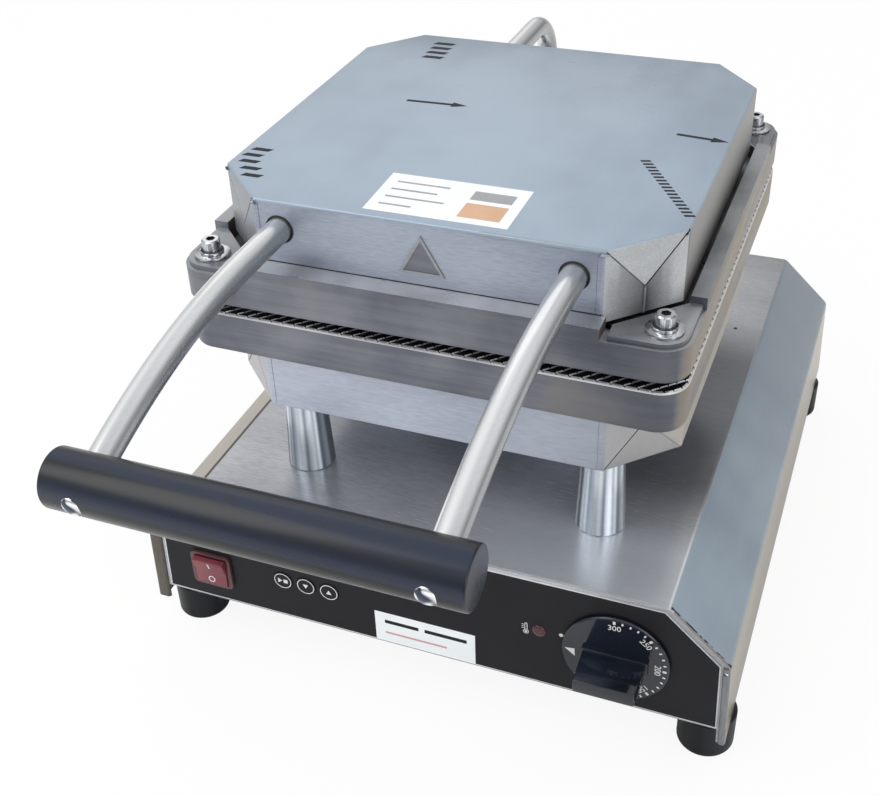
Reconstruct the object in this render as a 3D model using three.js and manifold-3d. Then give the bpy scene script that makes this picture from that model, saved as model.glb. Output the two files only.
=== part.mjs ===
// A countertop iron for thin round waffles: two cast plates on a slant-sided base, with a hinged lid.
// X runs across, Y from the hood's front face to the rear, Z up from the ground. Lengths in millimetres.
import * as THREE from "three";
import { mergeVertices } from "three/addons/utils/BufferGeometryUtils.js";
import Module from "manifold-3d";

const wasm = await Module();
wasm.setup();

// Sheet metal, fits and cuts
const sheet = 1.5;
const fit = 0.3;
const overrun = 1;

// Feet
const footRadius = 17;
const footHeight = 29.3;
const footPatch = 14;
const footShoulder = 16.2;
const footNeck = 12;
const footInsetSide = 11.9;
const footInsetFront = 27.2;
const footInsetRear = 20.5;

// Base housing
const baseWidth = 368.6;
const baseTopWidth = 298;
const baseTopHeight = 123;
const baseShoulderHeight = 89.8;
const baseSplay = 2.5;
const baseAhead = 30.4;
const baseLength = 406.4;
const frontEdgeHeight = 40;
const footFlange = 28;
const footFlangeSetback = 13;
const returnFlange = 14;
const hemThickness = 5.3;
const hemDepth = 12;

// Front panel and what shows on it; heights are above the ground
const panelThickness = 0.8;
const panelBorder = 1.6;
const panelSlantBorder = 3;
const panelLeftBorder = 11.3;
const switchInset = 43.9;
const switchHeight = 66;
const switchBezelWidth = 28;
const switchBezelHeight = 26;
const switchBezelProud = 2;
const switchBodyWidth = 25.4;
const switchBodyHeight = 23.6;
const switchBodyDepth = 26;
const switchWall = 1.6;
const rockerThickness = 4.2;
const rockerDip = 1.6;
const rockerDepth = 4.5;
const rockerTilt = 8;
const rockerPivotBack = 1.5;
const keyRadius = 6.5;
const keyPitch = 15.75;
const keyBesideSwitch = 66.2;
const keyHeight = 71.5;
const keyProud = 0.6;
const keyTravel = 0.8;
const keyFlange = 0.8;
const keyFlangeThickness = 1.2;
const displayWidth = 43;
const displayTall = 20;
const displayBesideSwitch = 67.9;
const displayHeight = 97;
const displayProud = 0.3;
const lampBesideDial = 45.4;
const lampHeight = 83.5;
const lampRadius = 4.2;
const lampDome = 1.6;
const lampBodyRadius = 3.6;
const lampLength = 14;
const boardMargin = 8;
const boardThickness = 1.6;
const boardBack = 9;
const boardPostRadius = 2.5;
const boardPadRadius = 3;

// Thermostat and its dial
const dialInset = 63.3;
const dialHeight = 78.6;
const dialRadius = 31.3;
const dialThickness = 2.1;
const dialBevel = 0.9;
const dialGap = 0.6;
const gripBarLength = 36.8;
const gripBarTall = 8.9;
const gripBarOut = 26;
const gripBarTaper = 1.2;
const shaftRadius = 3;
const shaftBuried = 12;
const bushRadius = 4.7;
const thermostatRadius = 17;
const thermostatDepth = 24;
const thermostatPlate = 44;
const bulbRadius = 3;
const bulbLength = 80;

// Inside and rear of the base
const contactorSize = [45, 80, 56];
const contactorX = -62;
const contactorInset = 186;
const contactorStep = 12;
const terminalSize = [60, 25, 22];
const terminalX = 90;
const terminalInset = 46;
const terminalScrews = 5;
const terminalScrewRadius = 2.6;
const terminalScrewDepth = 10;
const ventLength = 26;
const ventWidth = 4;
const ventPitch = 10;
const ventCount = 7;
const ventX = -90;
const glandInset = 64.3;
const glandHeight = 66;
const glandRadius = 11;
const glandThreadRadius = 8;
const glandBore = 4.5;
const glandOut = 14;
const glandCollar = 5;
const glandNut = 4;

// Stand-offs and the lower casing
const standoffHeight = 59;
const standoffTop = 12;
const standoffBottom = 14.75;
const standoffInsetSide = 41.8;
const standoffInsetFront = 28.3;
const standoffInsetRear = 30;
const casingInset = 6.5;
const casingDepth = 42.5;
const casingSetback = 13.5;
const casingCut = 35.5;

// Baking plates
const plateWidth = 284;
const plateLength = 289;
const plateAhead = 13;
const plateCorner = 16;
const lowerPlateThickness = 25.1;
const bakingGap = 5.8;
const upperFloorThickness = 12.6;
const upperCornerThickness = 21.1;
const upperLedgeThickness = 25.1;
const rebateDrop = 2.8;
const rebateSetback = 2;
const ledgeInset = 44;
const slotWidth = 3.5;
const pocketSideGap = 3.5;
const pocketCornerGap = 4;

// Heaters and insulation
const heaterRadius = 4;
const heaterInsetSide = 28;
const heaterInsetEnd = 20;
const heaterRuns = 4;
const insulationInsetSide = 22.5;
const insulationInsetEnd = 36;
const insulationBehindBoss = 8.7;
const upperInsulationHeight = 28;

// Screws at the plates' corners
const screwRadius = 3;
const screwInsetSide = 15;
const screwInset = 16;
const screwDepth = 15;
const screwHeadRadius = 5.2;
const screwHeadHeight = 6.6;
const screwHeadEdge = 0.5;
const screwSocket = 2.9;
const screwSocketDepth = 3.5;
const springWasherRadius = 6.7;
const springWasherHeight = 1.6;
const washerRadius = 10;
const washerHeight = 1.6;
const nutRadius = 6;
const nutHeight = 5.2;
const boltEnd = 3.8;

// Hood
const hoodInset = 12;
const hoodInsetRear = 15;
const hoodHeight = 49.2;
const hoodLift = 8;
const hoodFrontCut = [34.5, 34.7];
const hoodRearCut = [28.8, 34.2];
const badgeWidth = 25.6;
const badgeTall = 22.3;
const badgeDrop = 7.6;
const badgeThickness = 0.8;

// Handle
const tubeRadius = 7;
const tubeX = 81;
const tubeHeight = 32.5;
const tubeStraight = 40;
const tubeBuried = 36;
const handleReach = 147.3;
const handleDrop = 29.5;
const bossWidth = 22;
const bossStart = 8;
const bossLength = 34;
const bossAbove = 3;
const gripRadius = 14.1;
const gripLength = 194.8;
const gripEdge = 1.2;
const gripScrewInset = 15.4;
const gripScrewLean = 13;
const gripScrewHead = 6;
const gripScrewDome = 2.6;
const gripScrewRadius = 2.5;
const gripScrewLength = 9;
const gripScrewSeat = 1.9;

// Hinge
const pivotBehind = 24;
const pivotAbove = 2.4;
const pinRadius = 5;
const pinHead = 7.5;
const pinHeadLength = 4;
const lugThickness = 12;
const lugGap = 4;
const lugX = 80;
const lugRadius = 11;
const lugFoot = 16;
const lugFootStart = 1;

// Wire conduit behind the hood
const conduitRadius = 7;
const conduitX = -40;
const conduitDrop = 9.2;
const conduitInside = 20;
const conduitOut = 54;
const conduitBend = 35;
const conduitLeg = 19;
const bushingRadius = 9.5;
const bushingHeight = 10;
const bushingPast = 4;

// Counts of facets and of steps along bent bars
const round = 20;
const fine = 32;
const coarse = 12;
const hexagon = 6;
const cornerFacets = 8;
const tubeSteps = 14;
const conduitSteps = 16;
const heaterSteps = 48;

// Places worked out from the sizes above
const half = (size) => size / 2;
const quarterTurn = Math.PI / 2;
const halfTurn = Math.PI;
const degree = Math.PI / 180;
const baseHalf = half(baseWidth);
const baseFront = -baseAhead;
const baseRear = baseLength - baseAhead;
const panelFront = baseFront - panelThickness;
const frontWallBack = baseFront + sheet;
const footX = baseHalf - footInsetSide;
const switchX = switchInset - baseHalf;
const keyX = switchX + keyBesideSwitch;
const displayX = switchX + displayBesideSwitch;
const dialX = baseHalf - dialInset;
const lampX = dialX - lampBesideDial;
const glandX = baseHalf - glandInset;
const contactorY = baseRear - contactorInset;
const terminalY = baseRear - terminalInset;
const casingBottom = baseTopHeight + standoffHeight;
const plateHalf = half(plateWidth);
const plateFront = -plateAhead;
const plateRear = plateLength - plateAhead;
const plateMiddle = half(plateFront + plateRear);
const screwX = plateHalf - screwInsetSide;
const casingHalf = plateHalf - casingInset;
const standoffX = casingHalf - standoffInsetSide;
const insulationHalf = casingHalf - insulationInsetSide;
const bossEnd = bossStart + bossLength;
const lowerPlateBottom = casingBottom + casingDepth;
const lowerPlateTop = lowerPlateBottom + lowerPlateThickness;
const upperPlateBottom = lowerPlateTop + bakingGap;
const pocketFloor = upperPlateBottom + upperFloorThickness;
const cornerTop = upperPlateBottom + upperCornerThickness;
const ledgeTop = upperPlateBottom + upperLedgeThickness;
const hoodHalf = plateHalf - hoodInset;
const hoodLength = plateRear - hoodInsetRear;
const hoodTop = pocketFloor + hoodHeight;
const ledgeEnd = plateHalf - ledgeInset;
const pivotY = plateRear + pivotBehind;
const pivotZ = lowerPlateTop + pivotAbove;
const tubeZ = pocketFloor + tubeHeight;
const handleTurn = 2 * Math.atan(handleDrop / handleReach);
const handleBend = handleReach / Math.sin(handleTurn);
const gripY = -tubeStraight - handleReach;
const gripZ = tubeZ - handleDrop;
const gripScrewX = half(gripLength) - gripScrewInset;
const knobBack = panelFront - dialGap;
const dialFace = knobBack - dialThickness;
const conduitZ = hoodTop - conduitDrop;
const conduitRear = hoodLength + conduitOut + conduitBend;
const conduitEnd = conduitZ - conduitBend - conduitLeg;
const screwYs = { front: plateFront + screwInset, rear: plateRear - screwInset };
const sides = { left: -1, right: 1 };

// Materials
function paint(color, roughness, metalness) {
  return new THREE.MeshStandardMaterial({ color, roughness, metalness });
}
const brushedSteel = paint(0xc4c2bd, 0.35, 0.9);
const filmedSteel = paint(0xaebfcd, 0.4, 0.3);
const castIron = paint(0x5b616c, 0.55, 0.6);
const castAluminium = paint(0xb9b9b6, 0.45, 0.8);
const brightSteel = paint(0xd0d0ce, 0.25, 0.95);
const zincSteel = paint(0xb6b7b4, 0.4, 0.85);
const blackPanel = paint(0x232427, 0.45, 0);
const blackGloss = paint(0x15161a, 0.2, 0);
const blackMatt = paint(0x1b1b1c, 0.55, 0);
const blackRubber = paint(0x161616, 0.85, 0);
const redLens = paint(0x8e1218, 0.25, 0);
const wool = paint(0xd9d3c4, 0.95, 0);
const boardGreen = paint(0x2c5a3c, 0.6, 0);
const greyPlastic = paint(0xa9abab, 0.6, 0);
const brass = paint(0xb08d4a, 0.35, 0.9);

// A closed geometry as a solid that can be joined and cut.
function solidOf(geometry) {
  const bare = geometry.index ? geometry.toNonIndexed() : geometry;
  bare.deleteAttribute("normal");
  bare.deleteAttribute("uv");
  const merged = mergeVertices(bare);
  const vertProperties = merged.attributes.position.array;
  const triVerts = new Uint32Array(merged.index.array);
  return new wasm.Manifold(new wasm.Mesh({ numProp: 3, vertProperties, triVerts }));
}

function geometryOf(solid) {
  const { vertProperties, triVerts } = solid.getMesh();
  const geometry = new THREE.BufferGeometry();
  geometry.setAttribute("position", new THREE.BufferAttribute(new Float32Array(vertProperties), 3));
  geometry.setIndex(new THREE.BufferAttribute(new Uint32Array(triVerts), 1));
  geometry.computeVertexNormals();
  return geometry;
}

// Solids: a block between two ends on each axis, outlines drawn out along an axis, turned pieces.
function block([x0, x1], [y0, y1], [z0, z1]) {
  const geometry = new THREE.BoxGeometry(x1 - x0, y1 - y0, z1 - z0);
  geometry.translate(half(x0 + x1), half(y0 + y1), half(z0 + z1));
  return solidOf(geometry);
}

function drawnOut(points, from, to, place) {
  const shape = new THREE.Shape(points.map(([a, b]) => new THREE.Vector2(a, b)));
  const geometry = new THREE.ExtrudeGeometry(shape, { depth: to - from, bevelEnabled: false });
  geometry.translate(0, 0, from);
  return solidOf(geometry.applyMatrix4(place));
}

const xAxis = new THREE.Vector3(1, 0, 0);
const yAxis = new THREE.Vector3(0, 1, 0);
const zAxis = new THREE.Vector3(0, 0, 1);
const upright = new THREE.Matrix4();
const sideways = new THREE.Matrix4().makeBasis(yAxis, zAxis, xAxis);
const prismZ = (points, from, to) => drawnOut(points, from, to, upright);
const prismX = (points, from, to) => drawnOut(points, from, to, sideways);
function prismY(points, from, to) {
  const backwards = new THREE.Matrix4().makeRotationX(quarterTurn);
  return drawnOut(points, -to, -from, backwards);
}

// Where a turned piece's axis lies: a lean of zero is along Y, a quarter turn is along Z.
function leaning(angle, x, y, z) {
  return new THREE.Matrix4().makeRotationX(angle).setPosition(x, y, z);
}
const alongY = (x, y, z) => leaning(0, x, y, z);
const alongZ = (x, y, z) => leaning(quarterTurn, x, y, z);
const alongX = (x, y, z) => new THREE.Matrix4().makeRotationZ(-quarterTurn).setPosition(x, y, z);

// A profile of [radius, place along the axis], from the low end to the high end.
function turned(profile, place, facets = round) {
  const points = profile.map(([radius, along]) => new THREE.Vector2(radius, along));
  return solidOf(new THREE.LatheGeometry(points, facets).applyMatrix4(place));
}

function rod(radius, from, to, place, facets = round) {
  return turned([[0, from], [radius, from], [radius, to], [0, to]], place, facets);
}

// A flat path laid in space by a matrix, for a round bar to follow.
class Route extends THREE.Curve {
  constructor(path, place) {
    super();
    this.path = path;
    this.place = place;
  }
  getPoint(t) {
    const { x, y } = this.path.getPoint(t);
    return new THREE.Vector3(x, y, 0).applyMatrix4(this.place);
  }
}

function ringPoints(radius, facets) {
  const turn = (2 * halfTurn) / facets;
  return Array.from({ length: facets }, (_, i) => [
    radius * Math.cos(i * turn),
    radius * Math.sin(i * turn),
  ]);
}

function bar(radius, path, place, steps, facets) {
  const points = ringPoints(radius, facets).map(([a, b]) => new THREE.Vector2(a, b));
  const extrudePath = new Route(path, place);
  return solidOf(new THREE.ExtrudeGeometry(new THREE.Shape(points), { steps, extrudePath }));
}

// Outlines, anticlockwise
function rectangle(halfWidth, front, rear) {
  return [[-halfWidth, front], [halfWidth, front], [halfWidth, rear], [-halfWidth, rear]];
}

function cutRectangle(halfWidth, front, rear, [frontX, frontY], [rearX, rearY]) {
  return [
    [halfWidth - frontX, front],
    [halfWidth, front + frontY],
    [halfWidth, rear - rearY],
    [halfWidth - rearX, rear],
    [rearX - halfWidth, rear],
    [-halfWidth, rear - rearY],
    [-halfWidth, front + frontY],
    [frontX - halfWidth, front],
  ];
}

function roundRectangle(halfWidth, front, rear, radius) {
  const corners = rectangle(halfWidth - radius, front + radius, rear - radius);
  return corners.flatMap(([x, y], corner) =>
    Array.from({ length: cornerFacets + 1 }, (_, i) => {
      const angle = (corner - 2 + i / cornerFacets) * quarterTurn;
      return [x + radius * Math.cos(angle), y + radius * Math.sin(angle)];
    }),
  );
}

// The outline with each edge moved in by its own distance, or out by a negative one.
function inset(points, distances) {
  const count = points.length;
  const lines = points.map(([x, y], i) => {
    const [u, v] = points[(i + 1) % count];
    const length = Math.hypot(u - x, v - y);
    const [a, b] = [(y - v) / length, (u - x) / length];
    const distance = Array.isArray(distances) ? distances[i] : distances;
    return [a, b, a * x + b * y + distance];
  });
  return lines.map(([a, b, c], i) => {
    const [d, e, f] = lines[(i + count - 1) % count];
    const cross = d * b - e * a;
    return [(f * b - e * c) / cross, (d * c - f * a) / cross];
  });
}

// The assembly: the base stands still, the lid is one group, each control is its own.
const machine = new THREE.Group();
const base = new THREE.Group();
const lid = new THREE.Group();
machine.add(base, lid);

function put(group, name, solid, material, place = [0, 0, 0]) {
  const mesh = new THREE.Mesh(geometryOf(solid), material);
  mesh.name = name;
  mesh.position.set(...place);
  group.add(mesh);
}

const mirrored = (side, from, to) => (side > 0 ? [from, to] : [-to, -from]);
const centred = (middle, size) => [middle - half(size), middle + half(size)];

// Base housing: one folded sheet, open below and behind, its sides a little wider apart at the ground
function sideAt(z) {
  const share = (baseShoulderHeight - z) / (baseShoulderHeight - footHeight);
  return baseHalf + share * baseSplay;
}
const housingOutline = (bottom) => [
  [-sideAt(bottom), bottom],
  [sideAt(bottom), bottom],
  [baseHalf, baseShoulderHeight],
  [half(baseTopWidth), baseTopHeight],
  [-half(baseTopWidth), baseTopHeight],
  [-baseHalf, baseShoulderHeight],
];
const baseOutline = housingOutline(footHeight);
const wallOutline = housingOutline(frontEdgeHeight);
const hemAt = (z) => sideAt(z) - hemThickness;

// Everything that passes through the front wall and the panel on it
const keyPlaces = { key_start: keyX - keyPitch, key_down: keyX, key_up: keyX + keyPitch };
function frontCuts(from, to) {
  const through = [from - overrun, to + overrun];
  const window = (x, width, z, height) =>
    block(centred(x, width + 2 * fit), through, centred(z, height + 2 * fit));
  let cuts = window(switchX, switchBodyWidth, switchHeight, switchBodyHeight);
  cuts = cuts.add(window(displayX, displayWidth, displayHeight, displayTall));
  for (const x of Object.values(keyPlaces)) {
    cuts = cuts.add(rod(keyRadius + fit, ...through, alongY(x, 0, keyHeight)));
  }
  cuts = cuts.add(rod(lampBodyRadius + fit, ...through, alongY(lampX, 0, lampHeight)));
  return cuts.add(rod(bushRadius + fit, ...through, alongY(dialX, 0, dialHeight)));
}

function baseHousing() {
  const opening = baseHalf - footFlange;
  const flangeTop = footHeight + sheet;
  const lipX = sideAt(frontEdgeHeight) - half(sheet);
  let housing = prismY(baseOutline, baseFront, baseRear);
  housing = housing.subtract(prismY(inset(baseOutline, sheet), frontWallBack, baseRear + overrun));
  housing = housing.subtract(
    block(
      [-opening, opening],
      [frontWallBack, baseRear + overrun],
      [footHeight - overrun, flangeTop + overrun],
    ),
  );
  const fold = sideAt(footHeight) - 2 * sheet;
  housing = housing.subtract(
    block(
      [-fold, fold],
      [frontWallBack, baseFront + footFlangeSetback],
      [footHeight - overrun, flangeTop + overrun],
    ),
  );
  const below = footHeight - overrun;
  const gap = [
    [-hemAt(below), below],
    [hemAt(below), below],
    [hemAt(frontEdgeHeight), frontEdgeHeight],
    [-hemAt(frontEdgeHeight), frontEdgeHeight],
  ];
  housing = housing.subtract(prismY(gap, baseFront - overrun, frontWallBack + overrun));
  const hem = [
    [hemAt(footHeight), footHeight],
    [sideAt(footHeight), footHeight],
    [baseHalf, baseShoulderHeight],
    [hemAt(baseShoulderHeight), baseShoulderHeight],
  ];
  for (const side of Object.values(sides)) {
    const corners = hem.map(([x, z]) => [side * x, z]);
    if (side < 0) corners.reverse();
    housing = housing.add(prismY(corners, baseFront, baseFront + hemDepth));
  }
  housing = housing.add(
    block(
      [-lipX, lipX],
      [baseFront, frontWallBack + returnFlange],
      [frontEdgeHeight, frontEdgeHeight + sheet],
    ),
  );
  return housing.subtract(frontCuts(baseFront, frontWallBack));
}
put(base, "base_housing", baseHousing(), brushedSteel);

const panelOutline = inset(wallOutline, [
  panelBorder,
  hemThickness,
  panelSlantBorder,
  panelBorder,
  panelSlantBorder,
  panelLeftBorder,
]);
const panel = prismY(panelOutline, panelFront, baseFront);
put(base, "front_panel", panel.subtract(frontCuts(panelFront, baseFront)), blackPanel);

// A row of slots, cut by blocks that stand in a row along X
function vents(middle, y, z) {
  return Array.from({ length: ventCount }, (_, i) => {
    const x = middle + (i - half(ventCount - 1)) * ventPitch;
    return block(centred(x, ventWidth), y, z);
  });
}

function rearPanel() {
  const edge = sheet + fit;
  const outline = inset(wallOutline, [0, edge, edge, edge, edge, edge]);
  const inner = baseHalf - edge;
  let plate = prismY(outline, baseRear - sheet, baseRear);
  plate = plate.add(
    block(
      [-inner, inner],
      [baseRear - sheet - returnFlange, baseRear],
      [frontEdgeHeight, frontEdgeHeight + sheet],
    ),
  );
  const through = [baseRear - sheet - overrun, baseRear + overrun];
  plate = plate.subtract(rod(glandThreadRadius + fit, ...through, alongY(glandX, 0, glandHeight)));
  for (const slot of vents(ventX, through, centred(glandHeight, ventLength))) {
    plate = plate.subtract(slot);
  }
  return plate;
}
put(base, "rear_panel", rearPanel(), brushedSteel);

function bottomPlate() {
  const edge = hemAt(baseShoulderHeight) - fit;
  const floor = frontEdgeHeight + sheet;
  let plate = block(
    [-edge, edge],
    [frontWallBack + fit, baseRear - sheet - fit],
    [floor, floor + sheet],
  );
  for (const x of [-ventX, ventX]) {
    for (const slot of vents(x, centred(plateMiddle, ventLength), [floor - overrun, floor + 2 * overrun])) {
      plate = plate.subtract(slot);
    }
  }
  return plate;
}
put(base, "bottom_plate", bottomPlate(), zincSteel);
const insideFloor = frontEdgeHeight + 2 * sheet;

// Feet, on the folded flanges of the sides
const foot = turned(
  [
    [0, 0],
    [footPatch, 0],
    [footShoulder, half(footRadius - footShoulder)],
    [footRadius, footRadius - footPatch],
    [footRadius, footHeight - half(footRadius - footNeck)],
    [footNeck, footHeight],
    [0, footHeight],
  ],
  alongZ(0, 0, 0),
);
for (const [sideName, side] of Object.entries(sides)) {
  const footYs = { front: baseFront + footInsetFront, rear: baseRear - footInsetRear };
  for (const [endName, y] of Object.entries(footYs)) {
    put(base, `foot_${endName}_${sideName}`, foot, blackRubber, [side * footX, y, 0]);
  }
}

// Rocker switch: a bezel with a body behind it, and a well that the rocker tips in
const pivotOut = panelFront - switchBezelProud + rockerPivotBack;
function switchHousing() {
  const bezel = block(
    centred(switchX, switchBezelWidth),
    [panelFront - switchBezelProud, panelFront],
    centred(switchHeight, switchBezelHeight),
  );
  const body = block(
    centred(switchX, switchBodyWidth),
    [panelFront - half(switchBezelProud), panelFront + switchBodyDepth],
    centred(switchHeight, switchBodyHeight),
  );
  const well = block(
    centred(switchX, switchBodyWidth - 2 * switchWall),
    [panelFront - switchBezelProud - overrun, pivotOut + rockerDepth + overrun],
    centred(switchHeight, switchBodyHeight - switchWall),
  );
  return bezel.add(body).subtract(well);
}
put(base, "switch_housing", switchHousing(), blackMatt);

function rocker() {
  const reach = half(switchBodyHeight) - switchWall;
  const width = half(switchBodyWidth) - switchWall - fit;
  const flat = [
    [-rockerThickness, -reach],
    [0, -reach],
    [rockerDepth, -half(reach)],
    [rockerDepth, half(reach)],
    [0, reach],
    [-rockerThickness, reach],
    [rockerDip - rockerThickness, 0],
  ];
  const lean = -rockerTilt * degree;
  const tipped = flat.map(([y, z]) => [
    pivotOut + y * Math.cos(lean) + z * Math.sin(lean),
    switchHeight - y * Math.sin(lean) + z * Math.cos(lean),
  ]);
  return prismX(tipped, switchX - width, switchX + width);
}
const rockerGroup = new THREE.Group();
machine.add(rockerGroup);
put(rockerGroup, "switch_rocker", rocker(), redLens);

// Keys: round caps held behind the wall by a flange
const keyBack = frontWallBack + fit + keyFlangeThickness;
const key = turned(
  [
    [0, panelFront - keyProud],
    [keyRadius, panelFront - keyProud],
    [keyRadius, frontWallBack + fit],
    [keyRadius + keyFlange, frontWallBack + fit],
    [keyRadius + keyFlange, keyBack],
    [0, keyBack],
  ],
  alongY(0, 0, 0),
);
for (const [name, x] of Object.entries(keyPlaces)) {
  const keyGroup = new THREE.Group();
  machine.add(keyGroup);
  put(keyGroup, name, key, blackPanel, [x, 0, keyHeight]);
}

// Timer board on four posts, with a pad behind each key, and the display that it carries
const boardFront = frontWallBack + boardBack;
function timerBoard() {
  const left = displayX - half(displayWidth) - boardMargin;
  const right = displayX + half(displayWidth) + boardMargin;
  const low = keyHeight - keyRadius - boardMargin;
  const high = displayHeight + half(displayTall) + boardMargin;
  const inBoard = boardFront + half(boardThickness);
  let board = block([left, right], [boardFront, boardFront + boardThickness], [low, high]);
  for (const x of [left + boardPostRadius, right - boardPostRadius]) {
    for (const z of [low + boardPostRadius, high - boardPostRadius]) {
      board = board.add(rod(boardPostRadius, frontWallBack, inBoard, alongY(x, 0, z), coarse));
    }
  }
  for (const x of Object.values(keyPlaces)) {
    const padFront = keyBack + keyTravel + fit;
    board = board.add(rod(boardPadRadius, padFront, inBoard, alongY(x, 0, keyHeight), coarse));
  }
  return board;
}
put(base, "timer_board", timerBoard(), boardGreen);
const display = block(
  centred(displayX, displayWidth),
  [panelFront - displayProud, boardFront],
  centred(displayHeight, displayTall),
);
put(base, "timer_display", display, blackGloss);

const lamp = turned(
  [
    [0, panelFront - lampDome],
    [half(lampRadius), panelFront - lampDome],
    [lampRadius, panelFront - half(lampDome)],
    [lampRadius, panelFront],
    [lampBodyRadius, panelFront],
    [lampBodyRadius, panelFront + lampLength],
    [0, panelFront + lampLength],
  ],
  alongY(lampX, 0, lampHeight),
);
put(base, "indicator_lamp", lamp, redLens);

// Thermostat: a body on a plate behind the wall, a bush through it, and the shaft that the dial turns
const thermostatFront = frontWallBack + sheet;
const atDial = alongY(dialX, 0, dialHeight);
const shaftEnd = thermostatFront + shaftBuried;
function thermostatBody() {
  const plate = block(
    centred(dialX, thermostatPlate),
    [frontWallBack, thermostatFront],
    centred(dialHeight, thermostatPlate),
  );
  const can = rod(thermostatRadius, frontWallBack, thermostatFront + thermostatDepth, atDial);
  const bush = rod(bushRadius, panelFront - fit, thermostatFront, atDial);
  const bore = rod(shaftRadius + fit, panelFront - overrun, shaftEnd + fit, atDial);
  return plate.add(can).add(bush).subtract(bore);
}
put(base, "thermostat_body", thermostatBody(), zincSteel);

const dial = new THREE.Group();
machine.add(dial);
const shaftFront = dialFace - half(gripBarOut);
put(dial, "thermostat_shaft", rod(shaftRadius, shaftFront, shaftEnd, atDial), brass);

function thermostatKnob() {
  const skirt = turned(
    [
      [0, dialFace],
      [dialRadius - dialBevel, dialFace],
      [dialRadius, dialFace + dialBevel],
      [dialRadius, knobBack],
      [0, knobBack],
    ],
    atDial,
    fine,
  );
  const root = half(gripBarLength);
  const tip = root - gripBarTaper;
  const plan = [
    [dialX - tip, dialFace - gripBarOut],
    [dialX + tip, dialFace - gripBarOut],
    [dialX + root, dialFace + dialBevel],
    [dialX - root, dialFace + dialBevel],
  ];
  const [low, high] = centred(dialHeight, gripBarTall);
  const bore = rod(shaftRadius + fit, shaftFront - fit, knobBack + overrun, atDial);
  return skirt.add(prismZ(plan, low, high)).subtract(bore);
}
put(dial, "thermostat_knob", thermostatKnob(), blackGloss);

// Switchgear on the bottom plate
function contactor() {
  const [width, length, height] = contactorSize;
  const [x, y] = [contactorX, contactorY];
  const body = block(centred(x, width), centred(y, length), [insideFloor, insideFloor + height]);
  const step = (end) =>
    block(
      centred(x, width + 2 * overrun),
      mirrored(end, half(length) - contactorStep, half(length) + overrun).map((v) => v + y),
      [insideFloor + height - contactorStep, insideFloor + height + overrun],
    );
  return body.subtract(step(1)).subtract(step(-1));
}
put(base, "contactor", contactor(), greyPlastic);

function terminalBlock() {
  const [width, length, height] = terminalSize;
  const [x, y] = [terminalX, terminalY];
  const top = insideFloor + height;
  let body = block(centred(x, width), centred(y, length), [insideFloor, top]);
  for (let i = 0; i < terminalScrews; i++) {
    const at = x + ((i + half(1)) / terminalScrews - half(1)) * width;
    const well = rod(terminalScrewRadius, top - terminalScrewDepth, top + overrun, alongZ(at, y, 0), coarse);
    body = body.subtract(well);
  }
  return body;
}
put(base, "terminal_block", terminalBlock(), greyPlastic);

const gland = turned(
  [
    [glandBore, baseRear - sheet - glandNut],
    [glandRadius, baseRear - sheet - glandNut],
    [glandRadius, baseRear - sheet],
    [glandThreadRadius, baseRear - sheet],
    [glandThreadRadius, baseRear],
    [glandRadius, baseRear],
    [glandRadius, baseRear + glandCollar],
    [glandThreadRadius, baseRear + glandOut],
    [glandBore, baseRear + glandOut],
    [glandBore, baseRear - sheet - glandNut],
  ],
  alongY(glandX, 0, glandHeight),
);
put(base, "cable_gland", gland, blackMatt);

// Stand-offs, casing and lower plate
const casingFront = plateFront + casingSetback;
const casingRear = plateRear - casingSetback;
const standoff = turned(
  [[0, 0], [standoffBottom, 0], [standoffTop, standoffHeight], [0, standoffHeight]],
  alongZ(0, 0, 0),
);
for (const [sideName, side] of Object.entries(sides)) {
  const ys = { front: casingFront + standoffInsetFront, rear: casingRear - standoffInsetRear };
  for (const [endName, y] of Object.entries(ys)) {
    const at = [side * standoffX, y, baseTopHeight];
    put(base, `standoff_${endName}_${sideName}`, standoff, castAluminium, at);
  }
}

const casingCuts = [casingCut, casingCut];
const casingOutline = cutRectangle(casingHalf, casingFront, casingRear, casingCuts, casingCuts);
const casingInside = prismZ(inset(casingOutline, sheet), casingBottom + sheet, lowerPlateBottom + overrun);
const casing = prismZ(casingOutline, casingBottom, lowerPlateBottom).subtract(casingInside);
put(base, "lower_casing", casing, brushedSteel);

const plateOutline = roundRectangle(plateHalf, plateFront, plateRear, plateCorner);
const lowerBoreTop = lowerPlateBottom + screwDepth;
function lowerPlate() {
  let plate = prismZ(plateOutline, lowerPlateBottom, lowerPlateTop);
  for (const side of Object.values(sides)) {
    for (const y of Object.values(screwYs)) {
      const at = alongZ(side * screwX, y, 0);
      plate = plate.subtract(
        rod(screwRadius + fit, lowerPlateBottom - overrun, lowerBoreTop + fit, at, coarse),
      );
    }
  }
  return plate;
}
put(base, "lower_plate", lowerPlate(), castIron);

const bolt = rod(nutRadius, -nutHeight, 0, alongZ(0, 0, 0), hexagon).add(
  rod(screwRadius, -nutHeight - boltEnd, screwDepth, alongZ(0, 0, 0), coarse),
);
for (const [sideName, side] of Object.entries(sides)) {
  for (const [endName, y] of Object.entries(screwYs)) {
    const at = [side * screwX, y, lowerPlateBottom];
    put(base, `lower_bolt_${endName}_${sideName}`, bolt, zincSteel, at);
  }
}

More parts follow.
